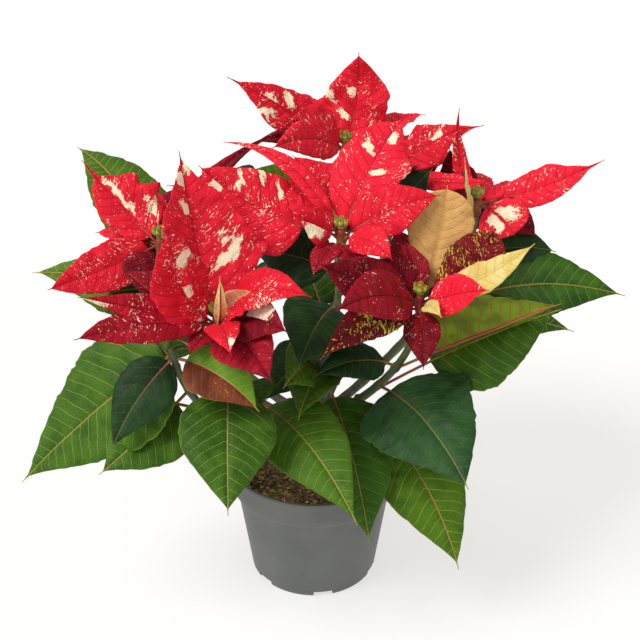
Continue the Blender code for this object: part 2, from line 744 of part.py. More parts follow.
def cup_cluster(name, group, finish):
    """The small green cups over a hub, sunk in one low core."""
    seat = np.array(BLOOMS[name][0], float) + UP * (HUB_BENDS[-1][0] + GAP)
    points = [seat + UP * height for height, _ in CLUSTER_BENDS]
    core = tube("cups_" + name, points, [radius for _, radius in CLUSTER_BENDS], group)
    core.data.materials.append(finish)
    cups = []
    for k in range(CUP_COUNT):
        angle = math.radians(CUP_TURN) + 2.0 * math.pi * k / CUP_COUNT
        place = seat + UP * MIDDLE_CUP_HEIGHT
        if k > 0:
            out = np.array([math.cos(angle), math.sin(angle), 0.0])
            place = seat + out * CUP_CIRCLE + UP * CUP_HEIGHT
        edit = bmesh.new()
        bmesh.ops.create_uvsphere(edit, u_segments=5, v_segments=3, radius=CUP_RADIUS * MM)
        for v in edit.verts:
            v.co = Vector((v.co.x, v.co.y, v.co.z * CUP_STRETCH)) + Vector(place * MM)
        mesh = bpy.data.meshes.new("cup")
        edit.to_mesh(mesh)
        edit.free()
        cups.append(add_object(f"cup_{name}_{k}", mesh, group))
    return joined(core, cups)


def main():
    clear_scene()
    plant = new_collection("poinsettia_in_pot")
    cutters = new_collection("cutters")
    pot = make_pot(plant, cutters)
    soil = make_soil(plant)
    stem = make_stem(plant)
    obstacles = [("pot", mesh_tree(pot)), ("soil", mesh_tree(soil)), ("woody_stem", mesh_tree(stem))]
    leaf_finish = material("leaf_green")
    bract_finish = material("bract_red")
    cup_finish = material("cup_green")
    cores = {}
    for name in LEAVES:
        cores["shoot_" + name] = shoot_core(name, plant)
        cores["shoot_" + name].data.materials.append(leaf_finish)
    for name in BLOOMS:
        cores["bloom_" + name] = hub_core(name, plant)
        cores["bloom_" + name].data.materials.append(bract_finish)
        cluster = cup_cluster(name, plant, cup_finish)
        obstacles.append((cluster.name, mesh_tree(cluster)))
    for node, core in cores.items():
        obstacles.append((node, mesh_tree(core)))
    blades = {node: [] for node in cores}
    jobs = []
    for name, (hub, bracts) in BLOOMS.items():
        for k, item in enumerate(bracts):
            azimuth = direction(item, np.array(hub, float))[0]
            side = np.array([math.cos(azimuth), math.sin(azimuth), 0.0])
            height = ROOT_TOP - ROOT_STEP * k
            root = np.array(hub, float) + side * ROOT_REACH + UP * height
            rows = SMALL_ROWS if item.aim or item.width < SMALL_WIDTH else BRACT_ROWS
            jobs.append(("bloom_" + name, item, root, rows, NARROW_COLUMNS))
    for name, leaves in LEAVES.items():
        for item in leaves:
            wide = item.width > WIDE_LEAF and not item.aim
            columns = WIDE_COLUMNS if wide else NARROW_COLUMNS
            rows = FILL_ROWS if item.aim else LEAF_ROWS
            jobs.append(("shoot_" + name, item, shoot_point(name, item.at), rows, columns))
    for k, (node, item, root, rows, columns) in enumerate(jobs):
        found = bend_clear(item, root, rows, columns, node, obstacles)
        if found is None:
            continue
        grid, face = found
        obstacles.append((node, shell_tree(grid, face, 0.0)))
        blades[node].append(blade_object(f"{node}_blade_{k}", grid, plant))
    for node, core in cores.items():
        joined(core, blades[node])


main()
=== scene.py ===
"""Looks of a potted poinsettia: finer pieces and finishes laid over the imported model."""
import math
from dataclasses import dataclass

import bpy
import numpy as np
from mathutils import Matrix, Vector


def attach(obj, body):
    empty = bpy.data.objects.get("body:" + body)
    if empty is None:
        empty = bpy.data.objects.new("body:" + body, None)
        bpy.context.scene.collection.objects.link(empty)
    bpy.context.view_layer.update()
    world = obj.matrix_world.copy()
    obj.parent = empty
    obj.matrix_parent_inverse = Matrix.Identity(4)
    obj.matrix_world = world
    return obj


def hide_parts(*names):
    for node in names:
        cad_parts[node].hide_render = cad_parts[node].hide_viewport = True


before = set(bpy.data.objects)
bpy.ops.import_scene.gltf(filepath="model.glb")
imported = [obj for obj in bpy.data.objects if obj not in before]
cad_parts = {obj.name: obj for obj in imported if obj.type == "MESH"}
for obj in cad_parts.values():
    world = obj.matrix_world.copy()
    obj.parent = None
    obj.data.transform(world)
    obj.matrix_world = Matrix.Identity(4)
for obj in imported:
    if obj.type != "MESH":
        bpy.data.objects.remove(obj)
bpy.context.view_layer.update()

# STUDIO
# The plant stands on a wide white floor under broad soft light from the upper left.
# The camera looks down at it from the height of someone standing close by.

scene = bpy.context.scene
scene.view_settings.view_transform = "Standard"

SENSOR = 36.0
FOCAL_PIXELS = 1250.0
WIDTH_PIXELS = 640.0
camera_data = bpy.data.cameras.new("camera")
camera_data.sensor_width = SENSOR
camera_data.lens = SENSOR * FOCAL_PIXELS / WIDTH_PIXELS
camera = bpy.data.objects.new("camera", camera_data)
camera.location = (0.005, -0.800, 0.641)
camera.rotation_euler = (math.radians(62.0), 0.0, 0.0)
scene.collection.objects.link(camera)
scene.camera = camera


class Socket:
    """A value in a material; Python's operators on it add Math nodes."""

    def __init__(self, finish, link):
        self.finish = finish
        self.link = link

    def __add__(self, other):
        return self.finish.math("ADD", self, other)

    __radd__ = __add__

    def __sub__(self, other):
        return self.finish.math("SUBTRACT", self, other)

    def __rsub__(self, other):
        return self.finish.math("SUBTRACT", other, self)

    def __mul__(self, other):
        return self.finish.math("MULTIPLY", self, other)

    __rmul__ = __mul__

    def __abs__(self):
        return self.finish.math("ABSOLUTE", self)

    def rising(self, low, high):
        """0 below low, 1 above high, and a smooth step between."""
        return self.finish.add("ShaderNodeMapRange", {"interpolation_type": "SMOOTHSTEP"},
                               {"Value": self, "From Min": low, "From Max": high})


class Finish:
    """A material being put together from nodes."""

    def __init__(self, name, roughness=0.5, **constants):
        self.material = bpy.data.materials.new(name)
        self.material.use_nodes = True
        self.tree = self.material.node_tree
        self.shader = self.tree.nodes["Principled BSDF"]
        self.shader.inputs["Roughness"].default_value = roughness
        for name, value in constants.items():
            self.shader.inputs[name.replace("_", " ")].default_value = value

    def add(self, kind, settings=None, sockets=None, out=0):
        """A node of any kind: its settings first, then values or links for its sockets."""
        node = self.tree.nodes.new(kind)
        for name, value in (settings or {}).items():
            setattr(node, name, value)
        for name, value in (sockets or {}).items():
            self.put(node.inputs[name], value)
        return Socket(self, node.outputs[out])

    def put(self, socket, value):
        if isinstance(value, Socket):
            self.tree.links.new(value.link, socket)
        elif isinstance(value, tuple) and len(value) == 3 and socket.type == "RGBA":
            socket.default_value = (*value, 1.0)
        else:
            socket.default_value = value

    def math(self, operation, *values):
        return self.add("ShaderNodeMath", {"operation": operation}, dict(enumerate(values)))

    def mix(self, share, first, second):
        """A colour between two colours."""
        return self.add("ShaderNodeMix", {"data_type": "RGBA"}, {0: share, 6: first, 7: second}, out=2)

    def vector(self, x, y, z):
        return self.add("ShaderNodeCombineXYZ", None, {0: x, 1: y, 2: z})

    def noise(self, place, scale, detail=2.0, roughness=0.5):
        """A noise from about 0.3 to 0.7 over the places given."""
        return self.add("ShaderNodeTexNoise", None,
                        {"Vector": place, "Scale": scale, "Detail": detail, "Roughness": roughness})

    def spot(self):
        """The place on the piece, in metres of the object's frame."""
        return self.add("ShaderNodeTexCoord", None, None, out=3)

    def paint(self, **links):
        for name, value in links.items():
            self.put(self.shader.inputs[name.replace("_", " ")], value)

    def bump(self, height, distance, strength=1.0):
        """Relief from a height between 0 and 1, as deep as the distance in metres."""
        sockets = {"Strength": strength, "Distance": distance, "Height": height}
        self.put(self.shader.inputs["Normal"], self.add("ShaderNodeBump", None, sockets))


sweep = Finish("white_sweep", 0.8, Emission_Strength=0.66)
haze = sweep.noise(sweep.spot(), 1.5)
sweep.paint(Base_Color=sweep.mix(haze, (0.300, 0.295, 0.285), (0.320, 0.315, 0.305)),
            Emission_Color=sweep.mix(haze, (1.0, 0.985, 0.965), (1.0, 0.995, 0.985)))
bpy.ops.mesh.primitive_plane_add(size=60.0)
floor = bpy.context.object
floor.name = "floor"
floor.data.materials.append(sweep.material)

world = bpy.data.worlds.new("studio")
world.use_nodes = True
sky = world.node_tree.nodes["Background"]
sky.inputs["Color"].default_value = (1.0, 0.985, 0.965, 1.0)
sky.inputs["Strength"].default_value = 0.52
scene.world = world


def lamp(name, kind, place, colour, power, **settings):
    """A light aimed at the middle of the plant."""
    data = bpy.data.lights.new(name, kind)
    data.energy = power
    data.color = colour
    for key, value in settings.items():
        setattr(data, key, value)
    holder = bpy.data.objects.new(name, data)
    holder.location = place
    aim = Vector((0.0, 0.0, 0.2)) - holder.location
    holder.rotation_euler = aim.to_track_quat("-Z", "Y").to_euler()
    scene.collection.objects.link(holder)


lamp("key_light", "SUN", (-1.4, -0.7, 2.1), (1.0, 0.985, 0.96), 2.7, angle=math.radians(32.0))
lamp("fill_light", "AREA", (1.2, -1.5, 1.2), (1.0, 0.99, 0.98), 4.0, size=1.5)

# POT
# A thin pot of grey plastic, moulded in one with a deep collar under its rim.
# Drain slots are cut through the corner between its wall and its floor.

MM = 0.001
RIM = 65.0
HEIGHT = 98.0
FOOT = 48.5
WALL = 1.6
COLLAR_FOOT = 76.0
SHOULDER = RIM - 5.5


def wall_radius(height):
    """Outer radius of the tapered wall below the collar, in millimetres."""
    return FOOT + (SHOULDER - FOOT) * height / COLLAR_FOOT


def mesh_piece(name, mesh, node):
    """A finished mesh as a piece of the object, standing for the CAD node named."""
    piece = bpy.data.objects.new(name, mesh)
    scene.collection.objects.link(piece)
    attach(piece, "root")
    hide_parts(node)


def applied(item):
    """A mesh with the object's modifiers worked in; the object is removed."""
    graph = bpy.context.evaluated_depsgraph_get()
    graph.update()
    mesh = bpy.data.meshes.new_from_object(item.evaluated_get(graph))
    bpy.data.objects.remove(item, do_unlink=True)
    return mesh


def turned(name, profile, steps):
    """A holder object for a profile turned round Z; the profile runs down its outer side."""
    mesh = bpy.data.meshes.new(name)
    mesh.from_pydata([(r * MM, 0.0, z * MM) for r, z in profile],
                     [(i, i + 1) for i in range(len(profile) - 1)], [])
    holder = bpy.data.objects.new(name + "_holder", mesh)
    scene.collection.objects.link(holder)
    screw = holder.modifiers.new("Turn", "SCREW")
    screw.steps = steps
    screw.render_steps = steps
    screw.use_merge_vertices = True
    screw.merge_threshold = 0.00002
    screw.use_smooth_shade = True
    return holder


plastic = Finish("pot_plastic", 0.5)
cloud = plastic.noise(plastic.spot(), 22.0, 4.0)
plastic.paint(Base_Color=plastic.mix(cloud.rising(0.35, 0.7), (0.100, 0.107, 0.099), (0.130, 0.137, 0.129)),
              Roughness=0.42 + 0.2 * cloud)
plastic.bump(plastic.noise(plastic.spot(), 900.0, 3.0), 0.00012, 0.35)

outside = [(RIM - 1.3, HEIGHT), (RIM - 0.6, HEIGHT - 0.1), (RIM - 0.15, HEIGHT - 0.5), (RIM, HEIGHT - 1.2),
           (RIM, HEIGHT - 2.6), (RIM - 0.25, HEIGHT - 3.4), (RIM - 0.5, HEIGHT - 10.0),
           (RIM - 0.8, COLLAR_FOOT + 5.0), (RIM - 1.1, COLLAR_FOOT + 2.8), (RIM - 1.8, COLLAR_FOOT + 1.4),
           (RIM - 3.2, COLLAR_FOOT + 0.2), (SHOULDER + 0.5, COLLAR_FOOT - 1.4), (SHOULDER, COLLAR_FOOT - 3.0)]
outside += [(wall_radius(h), h) for h in (60.0, 45.0, 30.0, 15.0, 6.0, 3.0, 2.0)]
outside += [(wall_radius(1.0) - 0.5, 0.8), (FOOT - 0.9, 0.2), (FOOT - 1.8, 0.0), (FOOT - 12.0, 0.0),
            (0.0, 0.0)]
inside = [(0.0, 2.6), (wall_radius(2.6) - WALL - 1.5, 2.6), (wall_radius(4.5) - WALL, 4.5),
          (wall_radius(COLLAR_FOOT) - WALL, COLLAR_FOOT - 3.0), (RIM - 1.8 - WALL, COLLAR_FOOT + 1.5),
          (RIM - 0.8 - WALL, COLLAR_FOOT + 5.0), (RIM - 0.4 - WALL, HEIGHT - 3.0),
          (RIM - 0.4 - WALL, HEIGHT - 0.6), (RIM - 0.2 - WALL, HEIGHT - 0.1), (RIM - 1.3, HEIGHT)]
shell = turned("pot", outside + inside, 144)
SLOTS = 6
cutters = []
for k in range(SLOTS):
    angle = 2.0 * math.pi * (k + 0.65) / SLOTS
    bpy.ops.mesh.primitive_cube_add(size=1.0)
    cutter = bpy.context.object
    cutter.scale = (0.012, 0.015, 0.009)
    cutter.location = (FOOT * MM * math.cos(angle), FOOT * MM * math.sin(angle), 0.0)
    cutter.rotation_euler = (0.0, 0.0, angle)
    soften = cutter.modifiers.new("Round", "BEVEL")
    soften.width = 0.0015
    soften.segments = 3
    cut = shell.modifiers.new("Slot", "BOOLEAN")
    cut.object = cutter
    cut.operation = "DIFFERENCE"
    cutters.append(cutter)
pot_mesh = applied(shell)
for cutter in cutters:
    bpy.data.objects.remove(cutter, do_unlink=True)
pot_mesh.materials.clear()
pot_mesh.materials.append(plastic.material)
pot_mesh.shade_smooth()
pot_mesh.set_sharp_from_angle(angle=math.radians(35.0))
mesh_piece("pot_shell", pot_mesh, "pot")

# SOIL
# Peat and coco fibre pressed into the pot, with loose crumbs and pale grains on top.
# A plain hole in its middle takes the foot of the stem.

SOIL_TOP = 88.0
SOIL_FOOT = 3.2
SOIL_EDGE = RIM - 0.8 - WALL - 0.3
HOLE = 4.9
HOLE_FOOT = 55.0
CRUMBS = 1300
dice = np.random.default_rng(7)


class Shell:
    """Mesh under construction: points, faces, and what each point or face carries."""

    def __init__(self):
        self.points, self.faces, self.finishes, self.count = [], [], [], 0
        self.carried = {"place": [], "line": [], "extra": []}

    def add(self, points, faces, finish, **carried):
        points = np.asarray(points, float).reshape(-1, 3)
        self.points.append(points)
        self.faces += [tuple(int(i) + self.count for i in face) for face in faces]
        self.finishes += [finish] * len(faces)
        for key, rows in self.carried.items():
            rows.append(np.reshape(carried.get(key, np.zeros_like(points)), (-1, 3)))
        self.count += len(points)

    def mesh(self, name, finishes):
        made = bpy.data.meshes.new(name)
        made.from_pydata((np.concatenate(self.points) * MM).tolist(), [], self.faces)
        for finish in finishes:
            made.materials.append(finish.material)
        made.polygons.foreach_set("material_index", self.finishes)
        for key, rows in self.carried.items():
            layer = made.attributes.new(key, "FLOAT_VECTOR", "POINT")
            layer.data.foreach_set("vector", np.concatenate(rows).astype(np.float32).ravel())
        made.shade_smooth()
        made.update()
        return made


def ring_faces(rings, sides, closed=True):
    """Quads between rings of points; the last side meets the first if closed."""
    faces = []
    for r in range(0, (rings - 1) * sides, sides):
        for s in range(sides if closed else sides - 1):
            t = (s + 1) % sides
            faces.append((r + s, r + t, r + sides + t, r + sides + s))
    return faces


def crumb(place, size, squash):
    """A rough little lump: an octahedron cut once more and knocked about."""
    corners = np.array([(1, 0, 0), (0, 1, 0), (-1, 0, 0), (0, -1, 0), (0, 0, 1), (0, 0, -1),
                        (0.7, 0.7, 0), (-0.7, 0.7, 0), (-0.7, -0.7, 0), (0.7, -0.7, 0)], float)
    corners *= dice.uniform(0.7, 1.15, (len(corners), 1))
    turn = dice.uniform(0, 2 * math.pi)
    c, s = math.cos(turn), math.sin(turn)
    corners = corners @ np.array([(c, s, 0), (-s, c, 0), (0, 0, squash)])
    rim = (0, 6, 1, 7, 2, 8, 3, 9)
    faces = [(rim[k], rim[(k + 1) % 8], 4) for k in range(8)]
    faces += [(rim[(k + 1) % 8], rim[k], 5) for k in range(8)]
    return corners * size + place, faces


def mottled(name, roughness, dark, light, scale, detail=3.0, coarse=0.5, high=0.65):
    """A finish whose colour drifts between two tones, and the noise that it drifts by."""
    skin = Finish(name, roughness)
    tone = skin.noise(skin.spot(), scale, detail, coarse)
    skin.paint(Base_Color=skin.mix(tone.rising(0.35, high), dark, light))
    return skin, tone


soil_finishes = []
for name, dark, light in (("soil_peat", (0.090, 0.056, 0.026), (0.380, 0.240, 0.110)),
                          ("soil_bark", (0.320, 0.190, 0.070), (0.760, 0.520, 0.240)),
                          ("soil_grain", (0.70, 0.62, 0.42), (0.95, 0.90, 0.70))):
    earth, specks = mottled(name, 0.95, dark, light, 420.0, 4.0, 0.7, 0.7)
    earth.bump(specks, 0.0008, 0.8)
    soil_finishes.append(earth)

soil = Shell()
rings = 46
sides = 150
radius = np.linspace(HOLE, SOIL_EDGE - 0.3, rings)
turn = np.linspace(0.0, 2.0 * math.pi, sides, endpoint=False)
across, round_ = np.meshgrid(radius, turn, indexing="ij")
x, y = across * np.cos(round_), across * np.sin(round_)
lumps = np.zeros_like(x)
for size, deep in ((14.0, 1.1), (6.0, 0.7), (3.0, 0.5)):
    for _ in range(5):
        way = dice.uniform(0, 2 * math.pi)
        wave = (x * math.cos(way) + y * math.sin(way)) / size * 2 + dice.uniform(0, 6)
        lumps += deep / 5 * 1.6 * np.sin(wave)
lumps += dice.uniform(-0.35, 0.35, x.shape)
z = SOIL_TOP - 0.6 + np.clip(lumps, -2.0, 1.4)
top = np.stack([x, y, z], -1)
edge = top[-1:] * (1.0, 1.0, 0.0)
skirt = [edge + (0, 0, 84.0)]
skirt += [edge / (SOIL_EDGE - 0.3) * (wall_radius(h) - WALL - 0.35) + (0, 0, h) for h in (70.0, SOIL_FOOT)]
hole_foot, soil_foot = (np.repeat([[[0.0, 0.0, h]]], sides, 1) for h in (HOLE_FOOT, SOIL_FOOT))
body = np.concatenate([hole_foot, top[:1] * (1, 1, 0) + (0, 0, HOLE_FOOT), top, *skirt, soil_foot])
# the rings run out over the top and down the side, so each face is turned to point out of the soil
soil.add(body, [(a, d, c, b) for a, b, c, d in ring_faces(len(body), sides)], 0)
for k in range(CRUMBS):
    reach = math.sqrt(dice.uniform(0.012, 1.0)) * (SOIL_EDGE - 2.5)
    way = dice.uniform(0, 2 * math.pi)
    kind = 2 if k % 9 == 0 else (1 if k % 3 == 0 else 0)
    size = dice.uniform(0.7, 1.9) if kind == 2 else dice.uniform(1.0, 3.4)
    place = (reach * math.cos(way), reach * math.sin(way), SOIL_TOP + dice.uniform(-0.8, 0.5))
    points, faces = crumb(place, size, 0.55)
    soil.add(points, faces, kind)
mesh_piece("soil_bed", soil.mesh("soil", soil_finishes), "soil")

# WOODY STEM
# The short grey-green trunk forks just above the pot into one arm for each shoot.
# Its bark is thin, with fine cracks along it.

FORK = 128.0
TRUNK = HOLE - 0.35
ARM_SHARE = 0.22
UP = np.array([0.0, 0.0, 1.0])
HUBS = {
    "left_front": (-65, -50, 240),
    "left_back": (-115, 55, 250),
    "centre": (20, 15, 275),
    "top": (25, 125, 300),
    "right_top": (65, 115, 285),
    "right_back": (125, 85, 270),
    "right_front": (75, -20, 240),
}
BLIND_TIP = (-95, -65, 228)
BLIND_DROP = 16.0
HUB_FOOT = 9.3


def shoot_point(name, share):
    """Point on a shoot's middle line, from the fork up to just under its bloom."""
    blind = name == "left_low"
    start = np.array([0.0, 0.0, FORK - (BLIND_DROP if blind else 0.0)])
    end = np.array(BLIND_TIP, float) if blind else np.array(HUBS[name], float) - UP * HUB_FOOT
    reach = (end - start) * (1.0, 1.0, 0.0)
    climb = (end - start)[2]
    leave = start + reach * 0.55 + UP * climb * (0.10 if blind else 0.25)
    arrive = end - reach * 0.04 - UP * climb * 0.40
    rest = 1.0 - share
    return start * rest**3 + leave * 3 * rest**2 * share + arrive * 3 * rest * share**2 + end * share**3


def tube(shell, path, radii, finish, sides=14, lumps=0.0):
    """Adds a round stem along a path, closed at both ends."""
    path = np.asarray(path, float)
    heading = np.gradient(path, axis=0)
    heading /= np.linalg.norm(heading, axis=1)[:, None]
    side = np.cross(heading, (0.31, 0.95, 0.05))
    side /= np.linalg.norm(side, axis=1)[:, None]
    other = np.cross(heading, side)
    angle = np.linspace(0.0, 2.0 * math.pi, sides, endpoint=False)
    wide = np.asarray(radii, float)[:, None] * (1.0 + lumps * dice.uniform(-1, 1, (len(path), sides)))
    points = (path[:, None] + side[:, None] * (np.cos(angle) * wide)[..., None]
              + other[:, None] * (np.sin(angle) * wide)[..., None])
    body = np.concatenate([np.repeat(path[:1, None], sides, 1), points, np.repeat(path[-1:, None], sides, 1)])
    along = np.linalg.norm(np.diff(body[:, 0], axis=0, prepend=body[:1, 0]), axis=1).cumsum()
    marks = np.stack(np.broadcast_arrays(along[:, None], np.sin(angle)[None] * 4.0, 0.0), -1)
    shell.add(body, ring_faces(len(body), sides), finish, place=marks)


bark = Finish("stem_bark", 0.7)
lengthways = bark.add("ShaderNodeAttribute", {"attribute_name": "place"}, None, out=1)
drawn_out = bark.add("ShaderNodeVectorMath", {"operation": "MULTIPLY"}, {0: lengthways, 1: (0.35, 2.2, 1.0)})
streak = bark.noise(drawn_out, 1.0, 4.0, 0.6)
bark.paint(Base_Color=bark.mix(streak.rising(0.35, 0.68), (0.060, 0.062, 0.034), (0.210, 0.195, 0.130)))
bark.bump(streak, 0.0006, 0.7)

stem = Shell()
heights = np.linspace(HOLE_FOOT + 0.3, FORK + 4.0, 34)
girth = TRUNK + 0.22 * np.sin(heights / 5.5) + 0.5 * np.exp(-((heights - FORK) / 7.0) ** 2)
girth = np.where(heights < SOIL_TOP + 2.0, TRUNK, girth)
tube(stem, [(0.0, 0.0, h) for h in heights], girth, 0, 22, 0.015)
for name in [*HUBS, "left_low"]:
    shares = np.linspace(0.0, ARM_SHARE + 0.012, 14)
    tube(stem, [shoot_point(name, s) for s in shares], 3.55 + 0.2 * np.sin(shares * 70.0), 0, 16, 0.02)
mesh_piece("woody_stem_bark", stem.mesh("woody_stem", [bark]), "woody_stem")

# LEAFY SHOOTS
# Green shoots carry the leaves on long reddish stalks, older leaves lowest.
# A leaf is a thin blade with a pointed tip, quilted between its pale side veins.


@dataclass
class Blade:
    """One leaf or bract: where its tip lies, how wide it is and how it is turned and bent.

    A lobe has its share of the length, side and size. A patch of cream has its share, side, millimetres
    from the midrib, and reach along and across its vein.
    """

    tip: tuple
    width: float
    roll: float = 0.0
    tint: str = "red"
    aim: tuple = ()
    stalk: float = 7.0
    belly: float = 0.75
    taper: float = 1.1
    tail: float = 0.04
    lobes: tuple = ()
    arch: float = 0.0
    fold: float = 0.15
    cup: float = 0.1
    wave: float = 0.0
    at: float = 1.0
    patches: tuple = ()


def leaf(at, tip, width, roll, tint="green", **traits):
    """A leaf that leaves its shoot at a share of its length, with its tip's place in millimetres."""
    usual = {"stalk": 35.0, "belly": 0.65, "taper": 1.2, "arch": 0.12, "fold": 0.12, "cup": 0.15}
    return Blade(tip, width, roll, tint, at=at, **{**usual, **traits})


def leaf_out(at, azimuth, rise, length, width, tint="green"):
    """A leaf given by the azimuth and rise of its line in degrees, and its length."""
    made = leaf(at, (), width, 0.0, tint)
    made.aim = (azimuth, rise, length)
    return made


# Leaves given the light tint are painted with the glow of leaves lit from behind.
LEAVES = {
    "left_low": [
        leaf(0.97, (-210, -60, 115), 84, -50, "mid", stalk=6.0, belly=0.45, taper=1.2, arch=0.03),
        leaf(0.95, (-135, -100, 170), 40, -35, "dark", stalk=4.0, belly=0.6, arch=0.08),
        leaf(0.95, (-35, -100, 200), 42, 35, "young", stalk=10.0, fold=0.4),
        leaf(0.75, (-145, -100, 150), 58, -35, "mid", stalk=12.0, taper=1.3, arch=-0.02),
        leaf(0.90, (-120, -40, 225), 20, -30, "light", stalk=10.0),
        leaf_out(0.60, 165, -15, 110, 56, "mid"),
    ],
    "left_front": [
        leaf(0.75, (-55, -140, 145), 66, -5, "mid", stalk=20.0, belly=0.75),
        leaf(0.42, (30, -130, 130), 56, 25, "mid", stalk=12.0),
        leaf(0.62, (-35, -80, 190), 36, 20, "green", stalk=15.0),
        leaf_out(0.75, 150, 0, 95, 50),
    ],
    "right_front": [
        leaf(0.45, (105, -110, 145), 82, 20, "blue", stalk=14.0, belly=0.45, taper=1.0,
             lobes=((0.3, -1, 0.15),)),
        leaf(0.30, (175, -20, 235), 72, 50, "mid", stalk=62.0, arch=0.03),
        leaf(0.60, (170, -40, 250), 72, -55, "pale", stalk=35.0, belly=0.5, arch=0.01, fold=0.5),
        leaf(0.30, (105, -90, 60), 60, 25, "light"),
        leaf(0.62, (0, -55, 200), 34, -30, "dark", stalk=12.0),
    ],
    "centre": [
        leaf(0.30, (40, -100, 90), 66, 10, "green", stalk=20.0),
        leaf(0.72, (-10, -70, 215), 56, -20, "dark", stalk=12.0),
        leaf(0.85, (-45, 30, 255), 54, -30, "dark", stalk=10.0),
        leaf(0.35, (-20, -70, 200), 42, -45, "light", stalk=15.0),
        leaf(0.40, (5, -50, 200), 34, -15, "green", stalk=15.0),
        leaf(0.40, (-10, -75, 178), 40, 0, "mid", stalk=15.0),
        leaf(0.50, (-35, -40, 170), 46, -15, "dark", stalk=10.0),
        leaf_out(0.50, 104, 9, 110, 56),
        leaf_out(0.62, 20, 10, 90, 46),
    ],
    "right_back": [
        leaf(0.50, (235, 40, 215), 60, 45, "green"),
        leaf(0.40, (195, 20, 195), 40, 45, "mid"),
        leaf(0.75, (185, 65, 240), 46, 50, "dark", stalk=15.0),
        leaf(0.85, (150, 165, 255), 30, 20, "dark", stalk=15.0),
        leaf_out(0.62, 55, 0, 110, 58),
        leaf_out(0.35, 25, -15, 120, 60),
    ],
    "left_back": [
        leaf(0.70, (-200, 200, 275), 56, -20, "light"),
        leaf(0.50, (-220, 80, 215), 50, -40, "light"),
        leaf(0.75, (-155, 30, 220), 30, -50, "green", stalk=12.0),
        leaf_out(0.60, 100, 0, 120, 60),
        leaf_out(0.35, 150, -15, 120, 58),
    ],
    "top": [
        leaf(0.55, (-120, 150, 260), 56, -45, "dark", lobes=((0.55, 1, 0.3), (0.3, -1, 0.25))),
        leaf(0.70, (-50, 110, 290), 44, -50, "light", stalk=20.0),
        leaf_out(0.45, 120, -10, 125, 62),
        leaf_out(0.60, 75, -5, 115, 58),
        leaf_out(0.80, 115, 5, 90, 48),
    ],
    "right_top": [
        leaf(0.75, (90, 85, 300), 40, 70, "dark", stalk=15.0, arch=0.06),
        leaf_out(0.40, 70, -20, 120, 60),
        leaf_out(0.60, 45, -9, 110, 56),
        leaf_out(0.80, 85, 5, 90, 48),
    ],
}


def direction(blade, root):
    """Azimuth and rise in radians, and length, of the straight line from root to tip."""
    if blade.aim:
        return math.radians(blade.aim[0]), math.radians(blade.aim[1]), blade.aim[2]
    chord = np.array(blade.tip, float) - root
    length = float(np.linalg.norm(chord))
    return math.atan2(chord[1], chord[0]), math.asin(chord[2] / length), length


class Lie:
    """How one blade lies in space: its bowed spine and the ways across and over it."""

    def __init__(self, blade, root):
        azimuth, rise, self.length = direction(blade, root)
        out = np.array([math.cos(azimuth), math.sin(azimuth), 0.0])
        self.root = root
        self.along = out * math.cos(rise) + UP * math.sin(rise)
        self.over = -out * math.sin(rise) + UP * math.cos(rise)
        self.arch = blade.arch or (0.10 if rise < math.radians(45.0) else -0.12)
        self.blade = blade
        self.stalk_share = blade.stalk / self.length

    def middle(self, way):
        way = np.asarray(way, float)[:, None]
        return (self.root + self.along * self.length * way
                + self.over * self.length * self.arch * 4.0 * way * (1.0 - way))

    def frame(self, way):
        """Ways across and out of the face, rolled as the blade is."""
        heading = self.middle(way + 0.01) - self.middle(way - 0.01)
        heading /= np.linalg.norm(heading, axis=1)[:, None]
        side = np.cross(heading, self.over)
        side /= np.linalg.norm(side, axis=1)[:, None]
        face = np.cross(side, heading)
        roll = math.radians(self.blade.roll)
        return side * math.cos(roll) - face * math.sin(roll), face * math.cos(roll) + side * math.sin(roll)

    def half(self, share):
        """Half the blade's width along it."""
        blade = self.blade
        widest = blade.belly / (blade.belly + blade.taper)
        t = np.clip(share / (1.0 - blade.tail), 0.0, 1.0)
        return blade.width / 2.0 * (t / widest) ** blade.belly * ((1.0 - t) / (1.0 - widest)) ** blade.taper

    def surface(self, share, u):
        """Points of the plain blade, without veins, at shares of its length and sides u."""
        blade = self.blade
        way = self.stalk_share + (1.0 - self.stalk_share) * share
        spine = self.middle(way)
        across, face = self.frame(way)
        half = self.half(share)
        wider = np.zeros((len(share), len(u)))
        for place, side, size in blade.lobes:
            wider += size * np.exp(-((share - place) / 0.09) ** 2)[:, None] * np.clip(u * side, 0.0, 1.0)
        ripple = blade.wave * np.abs(u) * np.sin(4.0 * math.pi * share[:, None] + np.where(u > 0, 2.0, 0.0))
        raised = half[:, None] * (blade.fold * np.abs(u) - blade.cup * u * u + ripple)
        reach = half[:, None] * u * (1.0 + wider)
        points = spine[:, None] + across[:, None] * reach[..., None] + face[:, None] * raised[..., None]
        return points, reach, face


def wander(seed, t, waves=4):
    """A smooth random curve of about -1 to 1 over t, the same for the same seed."""
    roll = np.random.default_rng(seed)
    total = np.zeros_like(t)
    for k in range(waves):
        total += np.sin(t * (2.0 + 3.1 * k) + roll.uniform(0, 6.3)) * roll.uniform(0.4, 1.0) / (1.0 + 0.5 * k)
    return total / waves**0.5


def vein_count(start, body):
    """How many side veins leave the midrib before this share of its length, which is given in millimetres."""
    return (5.0 + body / 14.0) * np.where(start > 0.0, np.abs(start) ** 1.15, 1.3 * start)


def crumple(seed, x, y):
    """Soft irregular dents of about -1 to 1, some 8 to 20 mm across."""
    roll = np.random.default_rng(seed)
    total = np.zeros_like(y)
    for _ in range(7):
        turn, length = roll.uniform(0, math.pi), roll.uniform(9.0, 22.0)
        wave = (x * math.cos(turn) + y * math.sin(turn)) * 2 * math.pi / length
        total += np.sin(wave + roll.uniform(0, 6.3))
    return total / 2.6


